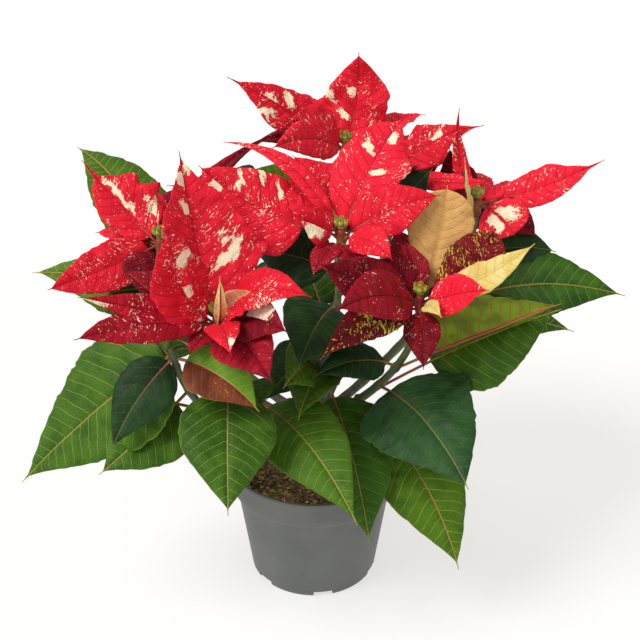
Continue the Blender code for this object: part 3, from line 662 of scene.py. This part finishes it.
def grow(shell, blade, lie, seed, finish, stalk_finish, stalk_radius, relief, loose, cell=2.1):
    """Adds one blade to the shell: two faces and a rim, quilted by its veins, and its stalk and midrib.

    relief is how high it swells between the veins; loose is how freely its margin waves.
    """
    body = lie.length * (1.0 - lie.stalk_share)
    rows = int(np.clip(body / cell, 16, 64))
    columns = int(np.clip(blade.width / cell, 10, 44)) // 2 * 2 + 1
    t = np.linspace(0.0, 1.0, rows)
    share = 0.65 * t + 0.35 * (0.5 - 0.5 * np.cos(math.pi * t))
    u = np.linspace(-1.0, 1.0, columns)
    points, reach, face = lie.surface(share, u)
    widest = blade.belly / (blade.belly + blade.taper) * (1.0 - blade.tail)
    spike = np.maximum(0.10 * (1.0 - share) * body, 0.25)
    half = np.maximum(lie.half(share), np.where(share < widest, stalk_radius * 0.8, spike))
    plain = np.maximum(lie.half(share), 0.01)
    way = lie.stalk_share + (1.0 - lie.stalk_share) * share
    across, _ = lie.frame(way)
    # margin: the outline waves in and out a little at random
    side_seed = np.where(u > 0, 1, 0)
    uneven = np.stack([wander(seed * 2 + s, share * 9.0) + 0.5 * wander(seed * 2 + 31 + s, share * 27.0)
                       for s in (0, 1)], 1)[:, side_seed]
    reach = reach + (half - plain)[:, None] * u + half[:, None] * 0.028 * loose * uneven * u * np.abs(u)
    points = points + across[:, None] * (reach - lie.surface(share, u)[1])[..., None]
    # veins: side veins leave the midrib and curve towards the tip
    w = np.abs(reach)
    start = (share[:, None] * body - w * 0.45 - w * w * 0.30 / max(blade.width / 2.0, 8.0)) / body
    phase = vein_count(start, body) + np.where(u > 0, 0.35, 0.0)
    phase = phase + 0.06 * crumple(seed + 70, share[:, None] * body * 0.6, reach * 0.6)
    between = np.abs(np.sin(math.pi * phase)) ** 0.8
    gate = np.clip(w / 3.0, 0.0, 1.0) * (1.0 - np.abs(u) ** 5)
    bulge = relief * between * gate - 0.5 * np.exp(-(w / 1.1) ** 2)
    # edges: a loose ripple that grows towards the margin, and a slow bend along the whole blade
    edge = np.stack([wander(seed * 2 + 77 + s, share * 13.0, 5) for s in (0, 1)], 1)[:, side_seed]
    ripple = 0.05 * loose * half[:, None] * np.abs(u) ** 2 * edge
    slow = 0.02 * loose * lie.length * (wander(seed + 500, share * 3.0, 2) * share * (1 - share))[:, None]
    dents = 0.28 * loose * crumple(seed + 900, share[:, None] * body, reach) * np.clip(w / 6.0, 0.0, 1.0)
    height = bulge + ripple + slow + dents
    middle = points + face[:, None] * height[..., None]
    down = np.gradient(middle, axis=0)
    over = np.gradient(middle, axis=1)
    normal = np.cross(over, down)
    normal /= np.maximum(np.linalg.norm(normal, axis=2), 1e-9)[..., None]
    normal *= np.sign((normal * face[:, None]).sum(2))[..., None]
    thick = 0.22 * (1.0 - 0.5 * np.abs(u) ** 4)[None, :, None]
    upper = middle + normal * thick
    lower = middle - normal * thick
    place = np.stack(np.broadcast_arrays(share[:, None] * body, reach, seed * 3.7), -1)
    line = np.stack(np.broadcast_arrays(phase, u, share[:, None]), -1)
    patch = np.full(w.shape, -1.0)
    stray = 1.8 * crumple(seed + 41, share[:, None] * body * 1.6, reach * 1.6)
    for spot, side, far, reach_along, reach_across in blade.patches:
        first = spot * body
        near = 1.0 - np.hypot((start * body - first + stray) / reach_across, (w - far - stray) / reach_along)
        patch = np.maximum(patch, np.where(u * side > 0, near, -1.0))
    extras = [np.stack(np.broadcast_arrays(under, patch, (seed * 0.618) % 1.0), -1) for under in (0.0, 1.0)]
    cells = ring_faces(rows, columns, closed=False)
    flip = float(np.dot(np.cross(across[rows // 2], lie.frame(way)[1][rows // 2]), lie.along)) > 0
    low = rows * columns
    faces = [f[::-1] if flip else f for f in cells]
    faces += [tuple(low + i for i in (f if flip else f[::-1])) for f in cells]
    border = [*range(columns)]
    border += [r * columns + columns - 1 for r in range(1, rows)]
    border += [(rows - 1) * columns + c for c in range(columns - 2, -1, -1)]
    border += [r * columns for r in range(rows - 2, 0, -1)]
    for a, b in zip(border, border[1:] + border[:1]):
        faces.append((a, b, low + b, low + a) if flip else (b, a, low + a, low + b))
    shell.add(np.concatenate([upper.reshape(-1, 3), lower.reshape(-1, 3)]), faces, finish,
              place=np.concatenate([place, place]), line=np.concatenate([line, line]),
              extra=np.concatenate(extras))
    # stalk, running on under the blade as its midrib
    rest = 1.0 - lie.stalk_share
    ways = np.concatenate([np.linspace(0.0, lie.stalk_share, 7)[:-1],
                           np.linspace(lie.stalk_share, lie.stalk_share + rest * 0.86, 16)])
    spine = lie.middle(ways)
    _, out = lie.frame(ways)
    shares = np.clip((ways - lie.stalk_share) / rest, 0.0, 1.0)
    lift = np.interp(shares, share, height[:, columns // 2]) - np.clip(shares * 8, 0, 1) * 0.42
    spine = spine + out * lift[:, None]
    girth = np.where(ways < lie.stalk_share, stalk_radius, stalk_radius * (1.0 - shares) ** 0.9 * 0.8 + 0.14)
    tube(shell, spine, girth, stalk_finish, 8)


def carried(skin, name):
    """A vector that the mesh carries, followed by its three parts."""
    whole = skin.add("ShaderNodeAttribute", {"attribute_name": name}, None, out=1)
    parts = skin.add("ShaderNodeSeparateXYZ", None, {0: whole}).link.node.outputs
    return whole, *(Socket(skin, part) for part in parts)


def leaf_finish(name, dark, light, vein, rib, under, under_vein, flushed=None):
    """Leaf skin: cloudy green, pale side veins, a coloured midrib, a fine net between, a paler underside.

    flushed gives two colours for a half of the blade that has begun to turn red.
    """
    skin = Finish(name, 0.4, Specular_IOR_Level=0.16)
    place, _, reach, _ = carried(skin, "place")
    _, phase, sideways, _ = carried(skin, "line")
    _, below, _, chance = carried(skin, "extra")
    off = abs(reach)
    shake = skin.noise(place, 0.35)
    near = abs(skin.math("FRACT", phase + 0.04 * shake + 0.48) - 0.5)
    inside = 1.0 - abs(sideways).rising(0.75, 1.0)
    side_vein = (1.0 - near.rising(0.008, 0.042)) * inside
    midrib = 1.0 - off.rising(0.25, 0.60)
    net = skin.add("ShaderNodeTexVoronoi", {"feature": "DISTANCE_TO_EDGE"}, {"Vector": place, "Scale": 0.46})
    mesh_line = 1.0 - net.rising(0.01, 0.14)
    cloud = skin.noise(place, 0.06, 3.0)
    green = skin.mix((cloud + 0.35 * chance - 0.17).rising(0.3, 0.72), dark, light)
    if flushed:
        specks = skin.noise(place, 0.55, 3.0, 0.6)
        ruddy = skin.mix(cloud.rising(0.35, 0.65), *flushed)
        ruddy = skin.mix((specks + 0.3 * cloud).rising(0.82, 0.86), ruddy, vein)
        side = (sideways + 0.2 * (cloud - 0.5)).rising(-0.03, 0.03)
        green = skin.mix(side, green, ruddy)
        side_vein = side_vein * (1.0 - 0.75 * side)
        mesh_line = mesh_line * (1.0 - 0.8 * side)
    green = skin.mix(mesh_line * 0.09, green, vein)
    green = skin.mix(side_vein * 0.85, green, vein)
    green = skin.mix(midrib, green, rib)
    green = skin.mix(abs(sideways).rising(0.965, 1.0) * 0.5, green, vein)
    back = skin.mix(cloud.rising(0.35, 0.62), tuple(0.5 * part for part in under), under)
    ridge = (1.0 - near.rising(0.02, 0.11)) * inside
    back = skin.mix(ridge * 0.75 + mesh_line * 0.12, back, under_vein)
    back = skin.mix((1.0 - off.rising(0.5, 1.3)) * 0.8, back, rib)
    skin.paint(Base_Color=skin.mix(below, green, back), Roughness=0.34 + 0.25 * cloud + 0.15 * below)
    skin.bump(1.0 - 0.8 * side_vein - 0.4 * mesh_line + 0.15 * skin.noise(place, 2.5), 0.0005, 0.55)
    return skin


stalk_finish, _ = mottled("leaf_stalk", 0.45, (0.300, 0.160, 0.040), (0.420, 0.045, 0.035), 60.0)
stalk_finish.bump(stalk_finish.noise(stalk_finish.spot(), 500.0), 0.0002, 0.4)
shoot_skin, _ = mottled("shoot_skin", 0.5, (0.055, 0.080, 0.022), (0.140, 0.160, 0.058), 45.0)
shoot_skin.bump(shoot_skin.noise(shoot_skin.spot(), 400.0), 0.0003, 0.5)

LEAF_TINTS = {
    "green": leaf_finish("leaf_green", (0.012, 0.05, 0.002), (0.034, 0.104, 0.005), (0.15, 0.25, 0.04),
                         (0.27, 0.22, 0.05), (0.11, 0.19, 0.055), (0.24, 0.32, 0.11)),
    "mid": leaf_finish("leaf_mid_green", (0.021, 0.076, 0.002), (0.054, 0.14, 0.006), (0.25, 0.35, 0.05),
                       (0.34, 0.28, 0.06), (0.13, 0.23, 0.06), (0.28, 0.38, 0.12)),
    "blue": leaf_finish("leaf_blue_green", (0.009, 0.038, 0.01), (0.024, 0.078, 0.02), (0.07, 0.15, 0.04),
                        (0.2, 0.19, 0.06), (0.1, 0.16, 0.065), (0.22, 0.28, 0.12)),
    "dark": leaf_finish("leaf_dark_green", (0.006, 0.026, 0.006), (0.017, 0.055, 0.012),
                        (0.05, 0.11, 0.024), (0.12, 0.12, 0.035), (0.08, 0.13, 0.05), (0.18, 0.23, 0.09)),
    # the light tint is painted bright yellow-green as the glow of leaves lit from behind
    "light": leaf_finish("leaf_painted_backlit_glow", (0.034, 0.1, 0.002), (0.078, 0.178, 0.005),
                         (0.33, 0.45, 0.06), (0.46, 0.25, 0.07), (0.17, 0.29, 0.04), (0.32, 0.4, 0.1)),
    "pale": leaf_finish("leaf_pale_underside", (0.052, 0.15, 0.004), (0.12, 0.275, 0.012),
                        (0.33, 0.45, 0.06), (0.5, 0.08, 0.05), (0.17, 0.26, 0.01), (0.25, 0.105, 0.035)),
    "young": leaf_finish("leaf_young", (0.05, 0.15, 0.006), (0.11, 0.26, 0.014), (0.38, 0.4, 0.055),
                         (0.4, 0.28, 0.06), (0.19, 0.21, 0.055), (0.34, 0.28, 0.1),
                         ((0.105, 0.022, 0.012), (0.2, 0.045, 0.02))),
}
LEAF_ORDER = [*LEAF_TINTS]
seed = 0
for name, leaves in LEAVES.items():
    shell = Shell()
    node = "shoot_" + name
    shares = np.linspace(ARM_SHARE, 1.0, 40)
    girth = np.interp(shares, (ARM_SHARE, 1.0), (3.35, 2.35))
    for item in leaves:
        girth = girth + 0.7 * np.exp(-((shares - item.at) / 0.012) ** 2)
    tube(shell, [shoot_point(name, s) for s in shares], girth, len(LEAF_ORDER) + 1, 14, 0.012)
    for item in leaves:
        seed += 1
        root = shoot_point(name, item.at)
        grow(shell, item, Lie(item, root), seed, LEAF_ORDER.index(item.tint), len(LEAF_ORDER), 1.15, 0.9, 1.5)
    finishes = [*LEAF_TINTS.values(), stalk_finish, shoot_skin]
    mesh_piece(node + "_leaves", shell.mesh(node, finishes), node)

# BLOOMS
# What looks like petals are bracts: leaves turned red, splashed with cream, in a whorl round the shoot's end.
# The lower ones are broad, lobed and pointed; those near the middle are small, dark and ridged, their dark
# red partly their own colour and partly painted shade.


def bract(tip, width, roll, tint="red", **traits):
    """A bract with its tip's place in millimetres."""
    return Blade(tip, width, roll, tint, **traits)


def bract_out(azimuth, rise, length, width, tint="red", **traits):
    """A bract given by the azimuth and rise of its line in degrees, and its length."""
    return Blade((), width, 0.0, tint, aim=(azimuth, rise, length), **traits)


HUB_TOP = 6.0
# Bracts with the deep tint, inside and behind each bloom, are dark red partly of their own and partly as
# painted shade.
BRACTS = {
    "left_front": [
        bract((-90, 0, 345), 76, 15, taper=1.3, arch=-0.05, fold=0.45,
              lobes=((0.34, 1, 0.3), (0.58, 1, 0.1)),
              patches=((0.22, 1, 16, 14, 4), (0.20, 1, 25, 7, 7), (0.81, -1, 3, 6, 5), (0.64, -1, 3, 7, 5),
                       (0.88, 1, 3, 5, 4))),
        bract((-90, -60, 315), 46, -65, stalk=6.0, taper=0.9, lobes=((0.34, 1, 0.2),), arch=-0.15,
              patches=((0.62, 1, 9, 8, 5), (0.32, 1, 2, 4, 5))),
        bract((0, -100, 285), 38, 35, stalk=6.0, taper=1.2, arch=0.16),
        bract((-150, -90, 280), 22, -50, "crimson", taper=1.2, arch=0.01, patches=((0.9, -1, 1, 6, 14),)),
        bract((-150, -110, 260), 28, -35, "crimson", taper=0.9, arch=0.05),
        bract((-40, -70, 275), 32, -60, "blush", stalk=5.0, arch=-0.05, taper=0.7),
        bract((-50, -130, 260), 24, 10, patches=((0.80, -1, 2, 5, 6),)),
        bract((-15, -110, 265), 36, 50, "deep", patches=((0.56, -1, 5, 9, 12),)),
        bract((-25, -130, 240), 42, 25, "deep"),
        bract((-60, -70, 285), 9, -20, "cream"),
        bract_out(-115, 0, 36, 20, "deep", stalk=4.0),
        bract_out(-60, 5, 36, 20, "deep", stalk=4.0),
        bract_out(100, 40, 80, 40, "deep"),
        bract_out(165, 30, 75, 36, "deep"),
    ],
    "left_back": [
        bract((-175, 90, 305), 36, -35, belly=0.5, taper=0.6, tail=0.22, arch=-0.02,
              lobes=((0.58, 1, 0.7), (0.34, 1, 0.9), (0.12, 1, 0.6)), wave=0.06,
              patches=((0.48, 1, 4, 3, 22), (0.12, 1, 16, 5, 5), (0.0, 1, 17, 8, 3))),
        bract((-195, 20, 230), 38, -50, belly=0.5, taper=0.9, arch=-0.02),
        bract((-160, 80, 245), 32, -50, "deep"),
        bract((-120, 10, 225), 46, -15, "deep"),
        bract((-110, 130, 265), 26, 15, "deep"),
        bract((-30, 120, 315), 16, 40, "deep", taper=1.5),
        bract_out(115, 20, 75, 38),
        bract_out(150, 0, 60, 34),
        bract_out(60, 10, 80, 34),
        bract_out(345, 10, 60, 30, "deep"),
    ],
    "centre": [
        bract((-80, 25, 325), 54, -55, stalk=25.0, belly=0.45, taper=0.8, arch=-0.08, wave=0.08,
              lobes=((0.12, -1, 0.25), (0.58, -1, 0.2)),
              patches=((0.79, -1, 2, 7, 5), (0.59, 1, 10, 7, 3), (0.34, 1, 21, 6, 3), (0.16, 1, 18, 6, 3))),
        bract((90, 20, 305), 38, 50, stalk=6.0, arch=0.06),
        bract((70, 80, 345), 50, 25, taper=0.95, tail=0.1,
              lobes=((0.58, 1, 0.25), (0.81, -1, 0.3)), wave=0.08,
              patches=((0.54, -1, 6, 9, 4), (0.72, 1, 2, 5, 5), (0.40, 1, 6, 7, 3))),
        bract((55, -25, 275), 26, 35, arch=0.14),
        bract((-10, 0, 295), 30, -60, arch=0.07, patches=((0.5, -1, 4, 9, 11),)),
        bract((-65, 60, 330), 14, -40, arch=0.19, taper=1.4),
        bract((-5, 40, 300), 16, -30, "cream"),
        bract_out(-120, -15, 40, 22, "deep", stalk=4.0),
        bract_out(-70, -15, 40, 22, "deep", stalk=4.0),
        bract((-15, 60, 320), 50, -20),
        bract((30, 70, 300), 40, 10, "deep"),
    ],
    "top": [
        bract((35, 150, 370), 50, 20, taper=1.0, lobes=((0.58, 1, 0.1), (0.34, -1, 0.3)), wave=0.08,
              patches=((0.26, -1, 23, 8, 5), (0.52, -1, 5, 6, 4), (0.2, -1, 8, 6, 4))),
        bract((-65, 120, 360), 38, -45, tail=0.08, arch=0.02, lobes=((0.58, -1, 0.2),),
              patches=((0.61, 1, 1, 5, 6), (0.55, -1, 11, 5, 9), (0.44, 1, 9, 6, 5))),
        bract((-20, 90, 335), 38, -65),
        bract((-45, 85, 320), 18, -55, "deep"),
        bract((-30, 60, 325), 32, -60),
        bract_out(100, 20, 75, 38),
        bract_out(140, 28, 80, 38),
        bract_out(30, 15, 75, 36),
        bract_out(75, -5, 70, 34),
    ],
    "right_top": [
        bract((130, 110, 325), 32, 50, belly=0.6, taper=1.6, tail=0.05,
              lobes=((0.34, -1, 0.25), (0.34, 1, 0.2)), patches=((0.45, -1, 3, 5, 5),)),
        bract((130, 60, 300), 17, 40, arch=-0.06),
        bract((100, 130, 285), 30, 50, "deep"),
        bract_out(60, 12, 65, 36),
        bract_out(95, 6, 75, 36),
        bract_out(114, 25, 60, 32),
        bract_out(35, 0, 70, 34),
        bract_out(265, 25, 55, 32, "deep"),
    ],
    "right_back": [
        bract((220, 90, 305), 28, 50, belly=1.0, taper=1.1, tail=0.12, arch=-0.04,
              lobes=((0.58, -1, 0.2),)),
        bract((150, 50, 260), 42, 35, taper=0.5, patches=((0.45, 1, 5, 7, 9), (0.4, -1, 5, 8, 9))),
        bract((170, 70, 250), 28, 50, "deep"),
        bract((100, 85, 285), 20, -60, "deep", stalk=6.0),
        bract((110, 105, 340), 13, -30, taper=1.6),
        bract((105, 115, 305), 30, -45, "deep"),
        bract((110, 50, 320), 12, -80, "cream"),
        bract_out(30, 0, 75, 36),
        bract_out(60, -10, 70, 36),
        bract_out(90, 0, 75, 34),
    ],
    "right_front": [
        bract((95, 25, 310), 46, 15, "blush", belly=0.9, taper=0.45, lobes=((0.58, -1, 0.1),)),
        bract((125, -15, 295), 42, 55, "wine", taper=0.6),
        bract((150, -30, 290), 24, 50, "cream", arch=-0.05),
        bract((115, -70, 275), 30, 60, arch=0.03),
        bract((65, 10, 275), 28, -45, "deep", arch=0.01),
        bract((5, -40, 280), 42, -55, "deep", stalk=6.0, arch=-0.01),
        bract((15, -90, 270), 38, -50, "deep"),
        bract((75, -70, 215), 26, 5, "deep", stalk=5.0),
        bract((5, -100, 240), 30, -35, "wine"),
        bract((85, -70, 255), 12, 40, "cream"),
        bract((45, 0, 265), 32, -40, "deep"),
        bract_out(100, 25, 75, 36, "deep"),
        bract_out(30, 12, 75, 34, "deep"),
    ],
}


def bract_finish(name, dark, light, vein, fleck, under, amount):
    """Bract skin: velvety colour wrinkled by its veins, with cream flecks and splashes that follow them."""
    skin = Finish(name, 0.5, Specular_IOR_Level=0.14)
    place, _, reach, number = carried(skin, "place")
    _, phase, sideways, _ = carried(skin, "line")
    _, below, patch, chance = carried(skin, "extra")
    shake = skin.noise(place, 0.35)
    near = abs(skin.math("FRACT", phase + 0.06 * shake + 0.47) - 0.5)
    side_vein = (1.0 - near.rising(0.01, 0.09)) * (1.0 - abs(sideways).rising(0.8, 1.0))
    midrib = 1.0 - abs(reach).rising(0.3, 0.8)
    net = skin.add("ShaderNodeTexVoronoi", {"feature": "DISTANCE_TO_EDGE"}, {"Vector": place, "Scale": 0.5})
    mesh_line = 1.0 - net.rising(0.03, 0.25)
    crowd = skin.noise(place, 0.05)
    flow = phase * 7.0
    specks = skin.noise(skin.vector(flow, reach * 0.5, number), 1.0, 3.0, 0.55)
    dashes = skin.noise(skin.vector(flow * 0.55, reach * 0.17, number + 3.0), 1.0, 3.0, 0.6)
    splash = skin.noise(skin.vector(flow * 0.17, reach * 0.07, number + 9.0), 1.0, 4.0, 0.65)
    ragged = skin.noise(place, 0.9, 3.0, 0.7)
    level = 0.30 * (crowd - 0.5) + amount
    flecks = (specks + level).rising(0.655, 0.680)
    for more in ((dashes + level).rising(0.668, 0.682),
                 (splash + level + 0.06 * (ragged - 0.5)).rising(0.700, 0.708),
                 (patch + 1.7 * (ragged - 0.5) + 1.2 * (dashes - 0.5)).rising(0.10, 0.16)):
        flecks = skin.math("MAXIMUM", flecks, more)
    cloud = skin.noise(place, 0.07, 3.0)
    red = skin.mix((cloud + 0.4 * chance - 0.2).rising(0.3, 0.7), dark, light)
    red = skin.mix(skin.math("MAXIMUM", mesh_line * 0.15, side_vein * 0.6), red, vein)
    red = skin.mix(midrib * 0.7, red, vein)
    top = skin.mix(flecks, red, fleck)
    back = skin.mix(skin.math("MAXIMUM", side_vein * 0.5, midrib), under, vein)
    back = skin.mix(flecks * 0.75, back, fleck)
    skin.paint(Base_Color=skin.mix(below, top, back), Roughness=0.42 + 0.3 * cloud)
    skin.bump(1.0 - 0.9 * side_vein - 0.5 * mesh_line + 0.2 * skin.noise(place, 2.0), 0.0006, 0.6)
    return skin


BRACT_TINTS = {
    "red": bract_finish("bract_red", (0.68, 0.007, 0.024), (0.88, 0.015, 0.04), (0.38, 0.004, 0.014),
                        (0.95, 0.81, 0.57), (0.6, 0.045, 0.07), -0.012),
    # the deep tint is a darker red that is partly the bracts' own colour and partly painted shade for bracts
    # inside and behind the blooms
    "deep": bract_finish("bract_deep_red_and_painted_shade", (0.165, 0.002, 0.009), (0.35, 0.005, 0.017),
                         (0.085, 0.001, 0.005), (0.86, 0.6, 0.48), (0.3, 0.014, 0.03), -0.034),
    "crimson": bract_finish("bract_crimson", (0.33, 0.004, 0.014), (0.56, 0.009, 0.028),
                            (0.17, 0.002, 0.008), (0.9, 0.7, 0.5), (0.4, 0.02, 0.04), -0.01),
    "wine": bract_finish("bract_wine", (0.1, 0.003, 0.006), (0.2, 0.005, 0.012), (0.05, 0.001, 0.004),
                         (0.6, 0.5, 0.06), (0.18, 0.01, 0.025), 0.028),
    "blush": bract_finish("bract_blush", (0.62, 0.335, 0.105), (0.79, 0.51, 0.2), (0.6, 0.35, 0.13),
                          (0.84, 0.62, 0.3), (0.76, 0.48, 0.27), -0.05),
    "cream": bract_finish("bract_cream", (0.68, 0.5, 0.12), (0.8, 0.68, 0.27), (0.62, 0.44, 0.11),
                          (0.64, 0.06, 0.04), (0.86, 0.7, 0.32), -0.06),
}
BRACT_ORDER = [*BRACT_TINTS]
bract_stalk, _ = mottled("bract_stalk", 0.5, (0.230, 0.010, 0.014), (0.330, 0.120, 0.030), 80.0)
bract_stalk.bump(bract_stalk.noise(bract_stalk.spot(), 600.0), 0.0002, 0.4)

for name, bracts in BRACTS.items():
    shell = Shell()
    node = "bloom_" + name
    hub = np.array(HUBS[name], float)
    rise = np.linspace(-9.0, HUB_TOP, 14)
    girth = np.interp(rise, (-9.0, -6.0, 4.0, HUB_TOP), (2.4, 3.5, 3.3, 2.1))
    tube(shell, [hub + UP * h for h in rise], girth, len(BRACT_ORDER), 14, 0.03)
    for k, item in enumerate(bracts):
        seed += 1
        azimuth = direction(item, hub)[0]
        root = hub + np.array([math.cos(azimuth), math.sin(azimuth), 0.0]) * 2.2 + UP * (1.0 - 0.6 * k)
        relief = 1.0 if item.tint in ("deep", "wine") else 0.7
        grow(shell, item, Lie(item, root), seed, BRACT_ORDER.index(item.tint), len(BRACT_ORDER),
             0.95, relief, 1.8, 1.8)
    finishes = [*BRACT_TINTS.values(), bract_stalk]
    mesh_piece(node + "_bracts", shell.mesh(node, finishes), node)

# FLOWER CUPS
# The true flowers: a tight cluster of green cups on the shoot's end, each with red and yellow
# stamens at its mouth. The outer cups have a yellow lip of nectar on their side.

cup_skin, tone = mottled("cup_green", 0.4, (0.230, 0.330, 0.040), (0.480, 0.520, 0.090), 350.0)
cup_skin.bump(tone, 0.0003, 0.4)
lip_skin, _ = mottled("cup_lip", 0.25, (0.700, 0.420, 0.020), (0.850, 0.620, 0.060), 500.0, 2.0)
stamen_skin, _ = mottled("cup_stamen", 0.5, (0.500, 0.030, 0.020), (0.750, 0.250, 0.030), 700.0, 2.0)


def round_body(shell, place, profile, finish, sides=12, lean=(0.0, 0.0)):
    """A little turned body from radius and height pairs, leaning towards its top."""
    angle = np.linspace(0.0, 2.0 * math.pi, sides, endpoint=False)
    c, s = np.cos(angle), np.sin(angle)
    rings = [np.stack([r * c + lean[0] * h, r * s + lean[1] * h, np.full(sides, h)], -1) for r, h in profile]
    shell.add(np.array(rings) + place, ring_faces(len(rings), sides), finish)


for name, hub in HUBS.items():
    shell = Shell()
    middle = np.array(hub, float) + UP * (HUB_TOP + 0.3)
    round_body(shell, middle, [(0.0, 0.0), (2.1, 0.0), (2.9, 1.6), (2.6, 3.2), (0.0, 4.2)], 0, 14)
    for k in range(6):
        angle = 2.0 * math.pi * k / 6.0 + 0.4
        reach = 0.0 if k == 0 else 2.9
        lean = (0.22 * math.cos(angle) * (k > 0), 0.22 * math.sin(angle) * (k > 0))
        place = middle + (math.cos(angle) * reach, math.sin(angle) * reach, 2.6 if k else 3.6)
        wide = dice.uniform(0.88, 1.06)
        cup = [(0.0, -0.6), (1.1, -0.3), (1.9, 1.0), (2.15, 2.4), (1.95, 3.8), (1.5, 4.7), (1.75, 5.2),
               (1.35, 5.0), (0.9, 4.2), (0.0, 4.0)]
        round_body(shell, place, [(r * wide, h) for r, h in cup], 0, 12, lean)
        top = place + np.array([lean[0], lean[1], 1.0]) * 4.6
        for s in range(5):
            way = dice.uniform(0, 2 * math.pi)
            foot = top + (math.cos(way) * 0.7, math.sin(way) * 0.7, 0.0)
            tall = dice.uniform(0.5, 1.3)
            bead = [(0.0, -0.3), (0.16, 0.0), (0.14, tall), (0.38, tall + 0.2), (0.34, tall + 0.55),
                    (0.0, tall + 0.7)]
            round_body(shell, foot, bead, 2, 6)
        if k:
            side = place + (math.cos(angle) * 1.9, math.sin(angle) * 1.9, 2.9)
            lip = [(0.0, -0.75), (0.65, -0.5), (0.9, 0.0), (0.65, 0.5), (0.3, 0.4), (0.0, 0.25)]
            round_body(shell, side, lip, 1, 8, (0.3 * math.cos(angle), 0.3 * math.sin(angle)))
    node = "cups_" + name
    mesh_piece(node + "_flowers", shell.mesh(node, [cup_skin, lip_skin, stamen_skin]), node)
